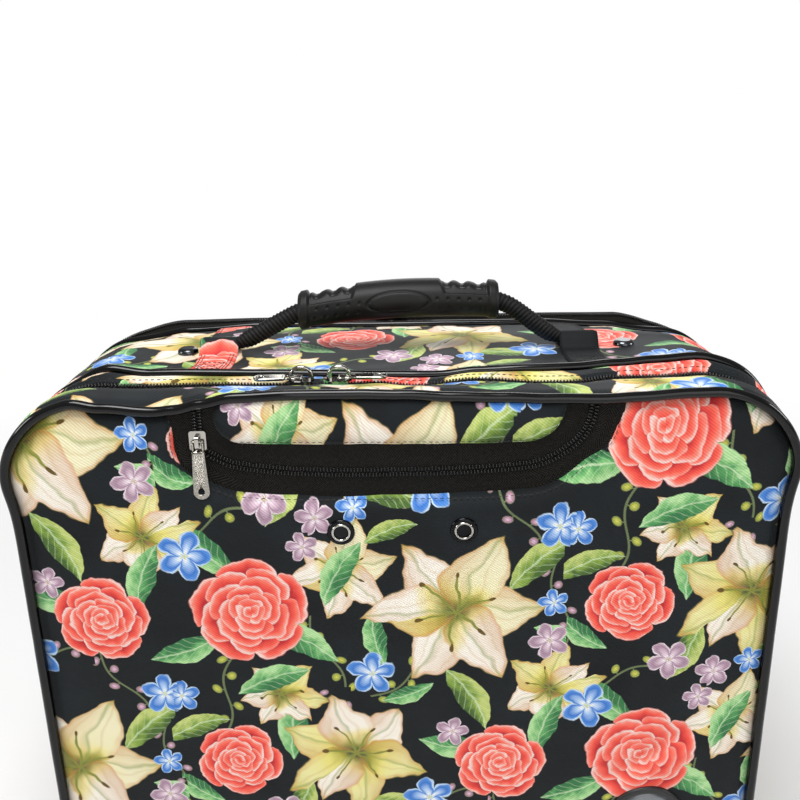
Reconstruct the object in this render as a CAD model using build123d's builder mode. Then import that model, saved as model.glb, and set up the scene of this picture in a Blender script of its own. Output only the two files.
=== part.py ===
from build123d import *

import os
from math import asin, cos, degrees, hypot, radians, sin, sqrt

# A soft rolling case for a laptop: a padded printed body with piping, zips and a carry handle,
# a two-stage trolley on its back, and two wheels. Millimetres. The origin is on the floor under
# the middle of the case, +Z is up and the front looks to -Y.

os.makedirs("parts", exist_ok=True)

# Case body
case_width = 444
case_bottom = 24
case_top = 356
top_corner = 52
bottom_corner = 30
piping_diameter = 6
front_piping_y = -105
middle_piping_y = -47
rear_piping_y = 79
gusset_inset = 2.5
gusset_thick = 3
panel_thick = 3
panel_recess = 1
seam_gap = 0.1

# A packed case's front edge and zip stand higher than its rear
front_rise = 7
zip_rise = 4

# Front pocket
mouth_left = -112
mouth_right = 107
mouth_drop = 40
mouth_left_corner = 20
mouth_right_corner = 36
tape_window = 13.4
tape_seam = 4
flap_thick = 6
pocket_depth = 12
lining_thick = 1.2

# Zips
coil_wide = 3
coil_high = 2
slit = 1
tape_thick = 1.2
slide_gap = 0.3
main_zip_back = 36
main_zip_edge = 4
main_zip_tape_half = 10
main_zip_end = 90
rear_zip_end = 200
rear_coil_proud = 0.5
slider_long = 11.5
slider_wide = 9.4
slider_corner = 1.6
top_plate = 1.8
under_plate = 1.2
under_wide = 8
post_wide = 0.4
post_long = 6
crown_thick = 2.2
crown_wall = 1.2
crown_flat = 0.6
puller_thick = 1.6
puller_half = 3.5
puller_bar = 0.7
puller_lift = 0.6
window_half = 1.6
main_crown = (11, 7)
small_crown = (6, 4.7)
pocket_crown = (7, 3.9)
main_puller = (28, 4.7)
rear_puller = (24, 4.2)
pocket_puller = (35, 4.9)
main_slider_places = {"left": -57, "right": -35}
rear_slider_places = {"left": -11, "right": 1}
pocket_slider_drop = 17.7

# Carry handle
handle_forward = 8
strap_diameter = 11.5
strap_root_diameter = 8
strap_root_x = 104
strap_rise = 36
strap_fit = 0.05
strap_bend = 20
strap_taper = 16
grip_length = 128
grip_arch = 4.5
grip_top = 44
grip_height = 25
grip_depth = 27
collar_long = 7
collar_proud = 1.2
notch_places = (31.5, 41, 51.5)
notch_radius = 2.4
notch_lift = 0.8
band_wide = 25
band_thick = 1.5
band_overlap = 2
stud_diameter = 13.6
stud_high = 3.6
stud_edge = 0.6
stud_places = (-138, 147)

# Rivets and badge on the front
rivet_spacing = 70
rivet_drop = 75
rivet_diameter = 16
rivet_high = 3
rivet_dish = 9
rivet_dish_depth = 1.6
rivet_edge = 1
badge_side = 70
badge_drop = 283
badge_diameter = 49
badge_rim_wide = 5
badge_high = 4.5
dome_high = 3.4
badge_edge = 0.8

# Boards, sleeve and rear pocket
board_thick = 3
board_inset = 6
board_setback = 1
rear_pocket_depth = 14
sleeve_side_gap = 12
sleeve_drop = 71
sleeve_lift = 3.7
sleeve_pad = 5
sleeve_wall = 3
laptop_space = 41
base_board_side_gap = 2
base_board_back = 45

# Trolley
tube_spacing = 160
outer_tube = 14
middle_tube = 11.8
inner_tube = 9.6
tube_wall = 0.8
trolley_depth = 16
tube_lift = 6
stage_step = 4
cup_arm_outer = 15
cup_arm_inner = 18
cup_high = 40.7
cup_scoop_deep = 15.7
cup_corner = 3
trolley_grip_drop = 11
trolley_grip_high = 19
trolley_grip_end = 14
trolley_grip_corner = 5
trolley_grip_edge = 2
trolley_grip_depth = 14
socket_deep = 8
bar_cavity_high = 8.5
rod_diameter = 4
rod_bar_high = 3
rod_lift = 26
rod_clear = 1
spring_high = 4.2
spring_diameter = 5
spring_wire = 0.5
spring_turns = 3
button_long = 28
button_wide = 6.4
button_gap = 0.3
button_proud = 1
button_corner = 1.2
trolley_base_gap = 16
trolley_base_lift = 4
trolley_base_high = 24
trolley_base_corner = 5
screw_spacing = 60
screw_lift = 12
screw_shank = 4
screw_head = 7
screw_head_high = 2.2
screw_clear = 0.1
screw_tip_gap = 1

# Wheels and feet
wheel_diameter = 50
wheel_width = 22
tyre_thick = 8
tyre_shoulder = 6
core_width = 20
bearing_diameter = 22
bearing_bore = 8
bearing_width = 7
bearing_stop = 1.5
seat_fit = 0.05
axle_fit = 0.05
housing_side_inset = 2
housing_width = 37
housing_side_wall = 6.5
housing_depth = 49.5
housing_proud = 4
housing_skirt = 11
housing_roof = 7.5
housing_corner = 7
housing_edge = 4
wheel_setback = 18
wheel_cavity_wide = 25
wheel_cavity_radius = 27.5
well_clearance = 0.3
axle_head_diameter = 12
axle_head_high = 1.5
foot_side = 65
foot_size = (40, 28)
foot_shrink = 4
foot_corner = 5

# The print's repeat on the front
repeat_width = 236
repeat_height = 216
repeat_origin = (-20, 190)
print_thick = 0.3
print_least = 260
rose_places = ((-70, 40, 36), (78, -72, 29), (-84, -66, 27))
lily_places = ((50, 38, 54, 12), (-12, -62, 43, 40))
leaf_places = ((-18, 66, 40, 60), (-108, 14, 34, 200), (60, -22, 36, 300), (-60, -6, 32, 20),
               (104, -44, 34, 70), (-46, -100, 34, 250))

# Worked out from the sizes above
bead_radius = piping_diameter / 2
wheel_radius = wheel_diameter / 2
edge_inset = piping_diameter + seam_gap
front_back_face = front_piping_y - bead_radius + panel_recess + panel_thick
front_face = front_back_face - panel_thick
gusset_top = case_top - gusset_inset
gusset_inner = gusset_inset + gusset_thick
main_tape_inset = gusset_inner + seam_gap
back_panel_front = rear_piping_y + rear_pocket_depth
back_panel_back = back_panel_front + panel_thick
rear_zip_y = (rear_piping_y + bead_radius + back_panel_front) / 2
rear_tape_inset = gusset_inset + coil_high - rear_coil_proud
lining_front = front_back_face + pocket_depth
back_board_front = rear_piping_y - bead_radius - board_thick + board_setback
main_zip_y = front_piping_y + main_zip_back
handle_y = (middle_piping_y + rear_piping_y) / 2 - handle_forward
badge_x = case_width / 2 - badge_side
badge_z = case_top - badge_drop
housing_outer = case_width / 2 - housing_side_inset
housing_inner = housing_outer - housing_width
housing_back = back_panel_back + housing_proud
housing_front = housing_back - housing_depth
housing_low = wheel_radius - housing_skirt
housing_high = wheel_radius + wheel_cavity_radius + housing_roof
wheel_x = housing_outer - housing_side_wall - wheel_cavity_wide / 2
wheel_y = housing_back - wheel_setback
sleeve_width = case_width - 2 * sleeve_side_gap
sleeve_low = housing_high + well_clearance + sleeve_lift
sleeve_high = case_top - sleeve_drop
base_board_width = 2 * (housing_inner - base_board_side_gap)
base_board_front = front_piping_y + base_board_back
foot_x = case_width / 2 - foot_side
foot_y = (front_piping_y + middle_piping_y) / 2
tube_x = tube_spacing / 2
tube_y = back_panel_back + trolley_depth / 2
tube_places = [(-tube_x, tube_y), (tube_x, tube_y)]
trolley_back = back_panel_back + trolley_depth
trolley_grip_top = case_top - trolley_grip_drop
trolley_grip_low = trolley_grip_top - trolley_grip_high
trolley_grip_half = tube_x + trolley_grip_end
cup_half_width = tube_x + cup_arm_outer
cup_top = trolley_grip_low - slide_gap
cup_low = cup_top - cup_high
cup_scoop = cup_top - cup_scoop_deep
trolley_base_half = housing_inner - trolley_base_gap
trolley_base_low = case_bottom + trolley_base_lift
tube_low = trolley_base_low + tube_lift
rod_low = tube_low + rod_lift
screw_rows = (cup_low + screw_lift, trolley_base_low + screw_lift)
bar_low = trolley_grip_low + socket_deep
rod_bar_low = bar_low + spring_high
strap_axis_z = gusset_top + strap_root_diameter / 2 + slide_gap
bar_height = puller_thick / 2 + puller_lift


def plane_at(y):
    """The upright plane across the case at depth y, seen from the front."""
    return Plane.XZ.offset(-y)


def case_corners(inset, rise=0):
    """The corners and radii of the case's outline, inset all round, with its top raised."""
    half = case_width / 2 - inset
    low = case_bottom + inset
    high = case_top - inset + rise
    corners = [(-half, low), (half, low), (half, high), (-half, high)]
    radii = [bottom_corner - inset] * 2 + [top_corner - inset] * 2
    return corners, radii


def case_outline(inset, mode=Mode.ADD, rise=0):
    """Draw the case's rounded outline, inset all round, in the open sketch."""
    corners, radii = case_corners(inset, rise)
    with BuildLine() as outline:
        FilletPolyline(*corners, radius=radii, close=True)
    make_face(outline.edges(), mode=mode)


def wall_ring(inset, thick, rise=0):
    """Draw a wall that follows the case's outline, in the open sketch."""
    case_outline(inset, rise=rise)
    case_outline(inset + thick, Mode.SUBTRACT, rise)


def sloping_wall(front, front_top, back, back_top):
    """A wall round the case whose top slopes between two depths, in the open part."""
    for inset, mode in ((gusset_inset, Mode.ADD), (gusset_inner, Mode.SUBTRACT)):
        ends = []
        for y, rise in ((front, front_top), (back, back_top)):
            with BuildSketch(plane_at(y)) as end:
                case_outline(inset, rise=rise)
            ends.append(end.sketch.face())
        loft(ends, ruled=True, mode=mode)


def zip_mouth(offset, mode=Mode.ADD):
    """Draw the area inside the pocket's U-shaped zip line, grown by offset, in the open sketch."""
    left = mouth_left - offset
    right = mouth_right + offset
    low = case_top - mouth_drop - offset
    high = case_top + front_rise + piping_diameter
    corners = [(left, high), (left, low), (right, low), (right, high)]
    radii = [0, mouth_left_corner + offset, mouth_right_corner + offset, 0]
    with BuildLine() as mouth:
        FilletPolyline(*corners, radius=radii, close=True)
    make_face(mouth.edges(), mode=mode)


def keep_above(height):
    """Cut away what lies below a height, in the open part."""
    with Locations((0, 0, height)):
        Box(2 * case_width, 2 * case_width, 2 * case_top, mode=Mode.SUBTRACT,
            align=(Align.CENTER, Align.CENTER, Align.MAX))


def keep_below(height):
    """Cut away what lies above a height, in the open part."""
    with Locations((0, 0, height)):
        Box(2 * case_width, 2 * case_width, 2 * case_top, mode=Mode.SUBTRACT,
            align=(Align.CENTER, Align.CENTER, Align.MIN))


def cut_wheel_wells():
    """Cut the rear lower corners away to leave room for the wheel housings, in the open part."""
    for side in (-1, 1):
        with Locations((side * (housing_inner - well_clearance), housing_front - well_clearance,
                        housing_high + well_clearance)):
            Box(case_width, case_width, case_top, mode=Mode.SUBTRACT,
                align=(Align.MIN if side > 0 else Align.MAX, Align.MIN, Align.MAX))


def zip_slider(base, ride, crown):
    """A zip's slider, whose top plate rides at a height above the tape.

    base lies on the tape's face, x along the zip and z away from the case.
    """
    crown_long, crown_high = crown
    top = base.offset(ride)
    under = base.offset(-tape_thick - slide_gap)
    crown_plane = Plane(top.offset(top_plate).origin, x_dir=base.x_dir, z_dir=-base.y_dir)
    with BuildPart() as slider:
        with BuildSketch(top):
            RectangleRounded(slider_long, slider_wide, slider_corner)
        extrude(amount=top_plate)
        with BuildSketch(under):
            RectangleRounded(slider_long, under_wide, slider_corner)
        extrude(amount=-under_plate)
        with BuildSketch(under):
            Rectangle(post_long, post_wide)
        extrude(amount=tape_thick + slide_gap + ride)
        with BuildSketch(crown_plane) as arch:
            Rectangle(crown_long, crown_high, align=(Align.CENTER, Align.MIN))
            fillet(arch.vertices().group_by(Axis.Y)[-1], crown_high / 2 - crown_flat / 2)
            Rectangle(crown_long - 2 * crown_wall, crown_high - crown_wall,
                      align=(Align.CENTER, Align.MIN), mode=Mode.SUBTRACT)
        extrude(amount=crown_thick / 2, both=True)
    return slider.part


def zip_puller(base, ride, crown, puller):
    """A puller that lies along +x of its slider, on a round bar that runs through the crown."""
    length, end_half = puller
    middle = base.offset(ride + top_plate + bar_height)
    window_end = hypot(crown[0] / 2, crown[1] - bar_height) + slide_gap
    ear_x = sqrt(puller_half ** 2 - window_half ** 2) - puller_thick / 2
    with BuildPart() as plate:
        with BuildSketch(middle.offset(-puller_thick / 2)):
            with BuildSketch(mode=Mode.PRIVATE) as ends:
                with Locations((ear_x, 0)):
                    Circle(puller_half)
                with Locations((length - end_half, 0)):
                    Circle(end_half)
            make_hull(ends.sketch.edges())
            with Locations((window_end, 0)):
                Rectangle(window_end + puller_half, 2 * window_half, mode=Mode.SUBTRACT,
                          align=(Align.MAX, Align.CENTER))
            with Locations((length - end_half, 0)):
                Circle(end_half / 3, mode=Mode.SUBTRACT)
        extrude(amount=puller_thick)
        with BuildSketch(Plane(middle.origin, x_dir=base.x_dir, z_dir=-base.y_dir)):
            Circle(puller_bar)
        extrude(amount=window_half, both=True)
    return plate.part


def motif_spots(places):
    """Every place of a motif on the front, from the print's half-drop repeat."""
    for column in (-1, 0, 1):
        for row in (-1, 0, 1):
            drop = repeat_height / 2 if column else 0
            for x, z, *rest in places:
                yield (repeat_origin[0] + column * repeat_width + x,
                       repeat_origin[1] + row * repeat_height - drop + z, *rest)


def clip_print(motifs):
    """Keep a sketch of the print inside the front panel, clear of what is fixed on it."""
    case_outline(edge_inset + 2, Mode.INTERSECT, front_rise)
    zip_mouth(tape_window + 2, Mode.SUBTRACT)
    with Locations(*[(side * rivet_spacing / 2, case_top - rivet_drop) for side in (-1, 1)]):
        Circle(rivet_diameter / 2 + 1, mode=Mode.SUBTRACT)
    with Locations((badge_x, badge_z)):
        Circle(badge_diameter / 2 + 1, mode=Mode.SUBTRACT)
    for scrap in motifs.faces().filter_by(lambda face: face.area < print_least):
        add(scrap, mode=Mode.SUBTRACT)


def draw_roses(grow=0, mode=Mode.ADD):
    """Draw the roses, each a disc with five lobes, in the open sketch."""
    for x, z, radius in motif_spots(rose_places):
        with Locations((x, z)):
            Circle(radius * 0.8 + grow, mode=mode)
            with PolarLocations(radius * 0.52, 5):
                Circle(radius * 0.44 + grow, mode=mode)


def draw_lilies(grow=0, mode=Mode.ADD):
    """Draw the lilies, each of six pointed petals, in the open sketch."""
    for x, z, radius, turn in motif_spots(lily_places):
        with Locations((x, z)):
            with PolarLocations(radius * 0.5, 6, start_angle=turn):
                Ellipse(radius * 0.5 + grow, radius * 0.19 + grow, mode=mode)


def draw_screws(radius, rows):
    """Draw a circle at each screw's place in the given rows, in the open sketch."""
    with Locations(*[(side * screw_spacing / 2, z) for z in rows for side in (-1, 1)]):
        Circle(radius)


# Front panel, with the pocket's mouth cut out of it
with BuildPart() as front_panel:
    with BuildSketch(plane_at(front_back_face)):
        case_outline(edge_inset, rise=front_rise)
        zip_mouth(tape_window, Mode.SUBTRACT)
    extrude(amount=panel_thick)
front_panel.part.label = "front_panel"
export_step(front_panel.part, "parts/front_panel.step")

# Pocket flap: thicker than the panel, so it stands proud of it
with BuildPart() as pocket_flap:
    with BuildSketch(plane_at(front_back_face)):
        zip_mouth(-tape_window)
        case_outline(edge_inset, Mode.INTERSECT, front_rise)
    extrude(amount=flap_thick)
    fillet(pocket_flap.faces().sort_by(Axis.Y)[0].edges(), panel_thick / 2)
pocket_flap.part.label = "pocket_flap"
export_step(pocket_flap.part, "parts/pocket_flap.step")

# Pocket zip: two tapes sewn behind the panel and the flap, and two rows of coil on them
with BuildPart() as pocket_zip_tape:
    with BuildSketch(plane_at(front_back_face + tape_thick)):
        zip_mouth(tape_window + tape_seam)
        zip_mouth(slit / 2, Mode.SUBTRACT)
        zip_mouth(-slit / 2)
        zip_mouth(-tape_window - tape_seam, Mode.SUBTRACT)
        case_outline(edge_inset, Mode.INTERSECT, front_rise)
    extrude(amount=tape_thick)
pocket_zip_tape.part.label = "pocket_zip_tape"
export_step(pocket_zip_tape.part, "parts/pocket_zip_tape.step")

with BuildPart() as pocket_zip_coil:
    with BuildSketch(plane_at(front_back_face)):
        zip_mouth(slit / 2 + coil_wide)
        zip_mouth(slit / 2, Mode.SUBTRACT)
        zip_mouth(-slit / 2)
        zip_mouth(-slit / 2 - coil_wide, Mode.SUBTRACT)
        case_outline(edge_inset, Mode.INTERSECT, front_rise)
    extrude(amount=coil_high)
pocket_zip_coil.part.label = "pocket_zip_coil"
export_step(pocket_zip_coil.part, "parts/pocket_zip_coil.step")

pocket_base = Plane((mouth_left, front_back_face, case_top - pocket_slider_drop),
                    x_dir=(0, 0, -1), z_dir=(0, -1, 0))
coil_ride = coil_high + slide_gap
pocket_slider = zip_slider(pocket_base, coil_ride, pocket_crown)
pocket_slider.label = "pocket_slider"
export_step(pocket_slider, "parts/pocket_slider.step")
pocket_puller_part = zip_puller(pocket_base, coil_ride, pocket_crown, pocket_puller)
pocket_puller_part.label = "pocket_puller"
export_step(pocket_puller_part, "parts/pocket_puller.step")

# Pocket lining, which also lines the lid of the main compartment
with BuildPart() as pocket_lining:
    with BuildSketch(plane_at(lining_front + lining_thick)):
        case_outline(gusset_inner + seam_gap, rise=zip_rise)
    extrude(amount=lining_thick)
pocket_lining.part.label = "pocket_lining"
export_step(pocket_lining.part, "parts/pocket_lining.step")

# Piping: three beads round the case, the rear one open at the wheel housings
for name, y, rise in (("front_piping", front_piping_y, front_rise),
                      ("middle_piping", middle_piping_y, 0), ("rear_piping", rear_piping_y, 0)):
    corners, radii = case_corners(bead_radius, rise)
    with BuildPart() as piping:
        with BuildLine(plane_at(y)) as bead_path:
            FilletPolyline(*corners, radius=radii, close=True)
        with BuildSketch(Plane(bead_path.line @ 0, z_dir=bead_path.line % 0)):
            Circle(bead_radius)
        sweep()
        cut_wheel_wells()
    piping.part.label = name
    export_step(piping.part, f"parts/{name}.step")

# Gussets: the walls round the case, from the front to the back. Where one lies over the main
# zip's tape it is level, and beyond it slopes up or down to the piping.
with BuildPart() as front_gusset:
    with BuildSketch(plane_at(main_zip_y - main_zip_edge)):
        wall_ring(gusset_inset, gusset_thick, zip_rise)
    extrude(amount=main_zip_tape_half - main_zip_edge)
    sloping_wall(front_piping_y + bead_radius + seam_gap, front_rise,
                 main_zip_y - main_zip_tape_half, zip_rise)
front_gusset.part.label = "front_gusset"
export_step(front_gusset.part, "parts/front_gusset.step")

# The zip's rear edge band also closes the walls below the zip's two ends
with BuildPart() as zip_gusset:
    with BuildSketch(plane_at(main_zip_y + main_zip_tape_half)):
        wall_ring(gusset_inset, gusset_thick, zip_rise)
    extrude(amount=main_zip_tape_half + main_zip_edge)
    sloping_wall(main_zip_y + main_zip_tape_half, zip_rise,
                 middle_piping_y - bead_radius - seam_gap, 0)
    with Locations((0, main_zip_y + main_zip_edge, main_zip_end)):
        Box(case_width, 2 * main_zip_edge, case_top, mode=Mode.SUBTRACT,
            align=(Align.CENTER, Align.MAX, Align.MIN))
zip_gusset.part.label = "zip_gusset"
export_step(zip_gusset.part, "parts/zip_gusset.step")

with BuildPart() as rear_gusset:
    with BuildSketch(plane_at(rear_piping_y - bead_radius - seam_gap)):
        wall_ring(gusset_inset, gusset_thick)
    extrude(amount=rear_piping_y - middle_piping_y - piping_diameter - 2 * seam_gap)
    cut_wheel_wells()
rear_gusset.part.label = "rear_gusset"
export_step(rear_gusset.part, "parts/rear_gusset.step")

with BuildPart() as rear_pocket_gusset:
    with BuildSketch(plane_at(back_panel_front - seam_gap)):
        wall_ring(gusset_inset, gusset_thick)
    extrude(amount=back_panel_front - rear_piping_y - bead_radius - 2 * seam_gap)
    keep_below(rear_zip_end - seam_gap)
    cut_wheel_wells()
rear_pocket_gusset.part.label = "rear_pocket_gusset"
export_step(rear_pocket_gusset.part, "parts/rear_pocket_gusset.step")

# Main zip: tape behind the gussets' edges, and two rows of coil that stand between them
with BuildPart() as main_zip_tape:
    for side in (-1, 1):
        with BuildSketch(plane_at(main_zip_y + side * main_zip_tape_half)):
            wall_ring(main_tape_inset, tape_thick, zip_rise)
        extrude(amount=side * (main_zip_tape_half - slit / 2))
    keep_above(main_zip_end)
main_zip_tape.part.label = "main_zip_tape"
export_step(main_zip_tape.part, "parts/main_zip_tape.step")

with BuildPart() as main_zip_coil:
    for side in (-1, 1):
        with BuildSketch(plane_at(main_zip_y + side * (slit / 2 + coil_wide))):
            wall_ring(main_tape_inset - coil_high, coil_high, zip_rise)
        extrude(amount=side * coil_wide)
    keep_above(main_zip_end + seam_gap)
main_zip_coil.part.label = "main_zip_coil"
export_step(main_zip_coil.part, "parts/main_zip_coil.step")

# Rear zip: its tape is the whole strip between the rear piping and the back panel
rear_strip_half = (back_panel_front - rear_piping_y - bead_radius) / 2 - seam_gap
with BuildPart() as rear_zip_tape:
    for side in (-1, 1):
        with BuildSketch(plane_at(rear_zip_y + side * rear_strip_half)):
            wall_ring(rear_tape_inset, tape_thick)
        extrude(amount=side * (rear_strip_half - slit / 2))
    keep_above(rear_zip_end)
rear_zip_tape.part.label = "rear_zip_tape"
export_step(rear_zip_tape.part, "parts/rear_zip_tape.step")

with BuildPart() as rear_zip_coil:
    for side in (-1, 1):
        with BuildSketch(plane_at(rear_zip_y + side * (slit / 2 + coil_wide))):
            wall_ring(rear_tape_inset - coil_high, coil_high)
        extrude(amount=side * coil_wide)
    keep_above(rear_zip_end)
rear_zip_coil.part.label = "rear_zip_coil"
export_step(rear_zip_coil.part, "parts/rear_zip_coil.step")

# Sliders and pullers on top: in each pair they meet and their pullers point apart.
# The main sliders ride above the gussets' edges, the rear ones just above their coil.
main_tape_z = case_top + zip_rise - main_tape_inset
rear_tape_z = case_top - rear_tape_inset
main_ride = gusset_top + zip_rise + slide_gap - main_tape_z
for zip_name, places, y, tape_z, ride, crown, puller in (
        ("main", main_slider_places, main_zip_y, main_tape_z, main_ride, main_crown, main_puller),
        ("rear", rear_slider_places, rear_zip_y, rear_tape_z, coil_ride, small_crown, rear_puller)):
    for side, x in places.items():
        toward = -1 if side == "left" else 1
        base = Plane((x, y, tape_z), x_dir=(toward, 0, 0), z_dir=(0, 0, 1))
        slider = zip_slider(base, ride, crown)
        slider.label = f"{zip_name}_slider_{side}"
        export_step(slider, f"parts/{slider.label}.step")
        puller_part = zip_puller(base, ride, crown, puller)
        puller_part.label = f"{zip_name}_puller_{side}"
        export_step(puller_part, f"parts/{puller_part.label}.step")

# Back panel
with BuildPart() as back_panel:
    with BuildSketch(plane_at(back_panel_back)):
        case_outline(gusset_inset)
    extrude(amount=panel_thick)
    cut_wheel_wells()
    with BuildSketch(plane_at(back_panel_back)):
        draw_screws(screw_shank / 2 + screw_clear, screw_rows)
    extrude(amount=panel_thick, mode=Mode.SUBTRACT)
back_panel.part.label = "back_panel"
export_step(back_panel.part, "parts/back_panel.step")

# Stiffening boards
with BuildPart() as back_board:
    with BuildSketch(plane_at(back_board_front + board_thick)):
        case_outline(board_inset)
    extrude(amount=board_thick)
    cut_wheel_wells()
back_board.part.label = "back_board"
export_step(back_board.part, "parts/back_board.step")

with BuildPart() as base_board:
    with Locations((0, base_board_front, case_bottom + edge_inset)):
        Box(base_board_width, back_board_front - base_board_front - seam_gap, board_thick,
            align=(Align.CENTER, Align.MIN, Align.MIN))
    fillet(base_board.edges().filter_by(Axis.Z), board_thick)
base_board.part.label = "base_board"
export_step(base_board.part, "parts/base_board.step")

# Laptop sleeve: a padded pocket, open at the top, sewn to the back board
with BuildPart() as laptop_sleeve:
    with Locations((0, back_board_front, sleeve_low)):
        Box(sleeve_width, laptop_space + sleeve_pad, sleeve_high - sleeve_low,
            align=(Align.CENTER, Align.MAX, Align.MIN))
    with Locations((0, back_board_front, sleeve_low + sleeve_wall)):
        Box(sleeve_width - 2 * sleeve_wall, laptop_space, sleeve_high, mode=Mode.SUBTRACT,
            align=(Align.CENTER, Align.MAX, Align.MIN))
    fillet(laptop_sleeve.faces().sort_by(Axis.Y)[0].edges(), sleeve_wall / 2)
laptop_sleeve.part.label = "laptop_sleeve"
export_step(laptop_sleeve.part, "parts/laptop_sleeve.step")

# Bands over the ends of the carry strap, each with a tunnel for it
band_front = middle_piping_y + bead_radius + seam_gap
band_back = rear_piping_y - bead_radius - seam_gap
tunnel_radius = strap_root_diameter / 2 + slide_gap
with BuildPart() as strap_bands:
    for side in (-1, 1):
        with BuildSketch(Plane.YZ.offset(side * (strap_root_x + band_wide / 2))):
            with Locations(((band_front + band_back) / 2, gusset_top)):
                Rectangle(band_back - band_front, band_thick, align=(Align.CENTER, Align.MIN))
            with Locations((handle_y, strap_axis_z)):
                Circle(tunnel_radius + band_thick)
            with Locations((handle_y, gusset_top)):
                Rectangle(2 * (tunnel_radius + band_thick), tunnel_radius,
                          align=(Align.CENTER, Align.MIN))
            with Locations((handle_y, strap_axis_z)):
                Circle(tunnel_radius, mode=Mode.SUBTRACT)
            with Locations((handle_y, gusset_top)):
                Rectangle(2 * tunnel_radius, tunnel_radius, align=(Align.CENTER, Align.MIN),
                          mode=Mode.SUBTRACT)
                Rectangle(case_width, case_width, align=(Align.CENTER, Align.MAX), mode=Mode.SUBTRACT)
        extrude(amount=band_wide / 2, both=True)
strap_bands.part.label = "strap_bands"
export_step(strap_bands.part, "parts/strap_bands.step")

# Carry strap: a tube of webbing through the grip, pinched where it goes under the bands
grip_half = grip_length / 2
grip_axis_z = case_top + grip_top - grip_height / 2
arch_radius = (grip_half ** 2 + grip_arch ** 2) / (2 * grip_arch)
arch_angle = degrees(asin(grip_half / arch_radius))
leg_slope = (cos(radians(strap_rise)), -sin(radians(strap_rise)))
bend_turn = strap_rise - arch_angle
bend_end = (grip_half + strap_bend * (sin(radians(strap_rise)) - sin(radians(arch_angle))),
            grip_axis_z - grip_arch
            - strap_bend * (cos(radians(arch_angle)) - cos(radians(strap_rise))))
leg_length = (bend_end[1] - strap_axis_z) / -leg_slope[1] - strap_taper
leg_end = (bend_end[0] + leg_slope[0] * leg_length, bend_end[1] + leg_slope[1] * leg_length)
handle_plane = plane_at(handle_y)
with BuildLine() as half_route:
    JernArc((0, grip_axis_z), (1, 0), arch_radius, -arch_angle)
    JernArc((grip_half, grip_axis_z - grip_arch), (cos(radians(arch_angle)), -sin(radians(arch_angle))),
            strap_bend, -bend_turn)
    Line(bend_end, leg_end)
    mirror(about=Plane.YZ)
strap_route = handle_plane * half_route.wire()
with BuildLine() as arch_line:
    JernArc((0, grip_axis_z), (1, 0), arch_radius, -arch_angle)
    mirror(about=Plane.YZ)
grip_route = handle_plane * arch_line.wire()

with BuildPart() as carry_strap:
    with BuildSketch(Plane(strap_route @ 0, z_dir=strap_route % 0)):
        Circle(strap_diameter / 2)
    sweep(path=strap_route)
    for side in (-1, 1):
        leg_foot = Plane((side * leg_end[0], handle_y, leg_end[1]),
                         z_dir=(side * leg_slope[0], 0, leg_slope[1]))
        root = Plane((side * strap_root_x, handle_y, strap_axis_z), z_dir=(side, 0, 0))
        with BuildSketch(leg_foot):
            Circle(strap_diameter / 2)
        with BuildSketch(root):
            Circle(strap_root_diameter / 2)
        loft()
        with BuildSketch(root):
            Circle(strap_root_diameter / 2)
        extrude(amount=band_wide - band_overlap)
carry_strap.part.label = "carry_strap"
export_step(carry_strap.part, "parts/carry_strap.step")

# Carry grip: arched, with a collar at each end and three notches near each end
grip_start = Plane(grip_route @ 0, x_dir=(0, 1, 0), z_dir=grip_route % 0)
with BuildPart() as carry_grip:
    with BuildSketch(grip_start):
        Ellipse(grip_depth / 2, grip_height / 2)
    sweep(path=grip_route)
    for side in (-1, 1):
        collar = Plane((side * grip_half, handle_y, grip_axis_z - grip_arch), x_dir=(0, 1, 0),
                       z_dir=(-side * cos(radians(arch_angle)), 0, sin(radians(arch_angle))))
        with BuildSketch(collar):
            Ellipse(grip_depth / 2 + collar_proud, grip_height / 2 + collar_proud)
        extrude(amount=collar_long)
        for x in notch_places:
            top_z = grip_axis_z + grip_height / 2 - grip_arch * (x / grip_half) ** 2 + notch_lift
            with BuildSketch(plane_at(handle_y)):
                with Locations((side * x, top_z)):
                    Circle(notch_radius)
            extrude(amount=grip_depth, both=True, mode=Mode.SUBTRACT)
    with BuildSketch(grip_start):
        Circle(strap_diameter / 2 + strap_fit)
    sweep(path=grip_route, mode=Mode.SUBTRACT)
carry_grip.part.label = "carry_grip"
export_step(carry_grip.part, "parts/carry_grip.step")

# Studs beside the bands
with BuildPart() as handle_studs:
    with BuildSketch(Plane.XY.offset(gusset_top)):
        with Locations(*[(x, handle_y) for x in stud_places]):
            Circle(stud_diameter / 2)
    extrude(amount=stud_high)
    fillet(handle_studs.faces().group_by(Axis.Z)[-1].edges(), stud_high - stud_edge)
handle_studs.part.label = "handle_studs"
export_step(handle_studs.part, "parts/handle_studs.step")

# Ring rivets below the pocket's zip, each dished in the middle
with BuildPart() as pocket_rivets:
    with BuildSketch(plane_at(front_face)):
        with Locations((0, case_top - rivet_drop)):
            with GridLocations(rivet_spacing, 1, 2, 1):
                Circle(rivet_diameter / 2)
    extrude(amount=rivet_high)
    fillet(pocket_rivets.faces().group_by(Axis.Y)[0].edges(), rivet_high - rivet_edge)
    with BuildSketch(plane_at(front_face - rivet_high)):
        with Locations((0, case_top - rivet_drop)):
            with GridLocations(rivet_spacing, 1, 2, 1):
                Circle(rivet_dish / 2)
    extrude(amount=-rivet_dish_depth, mode=Mode.SUBTRACT)
pocket_rivets.part.label = "pocket_rivets"
export_step(pocket_rivets.part, "parts/pocket_rivets.step")

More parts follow.
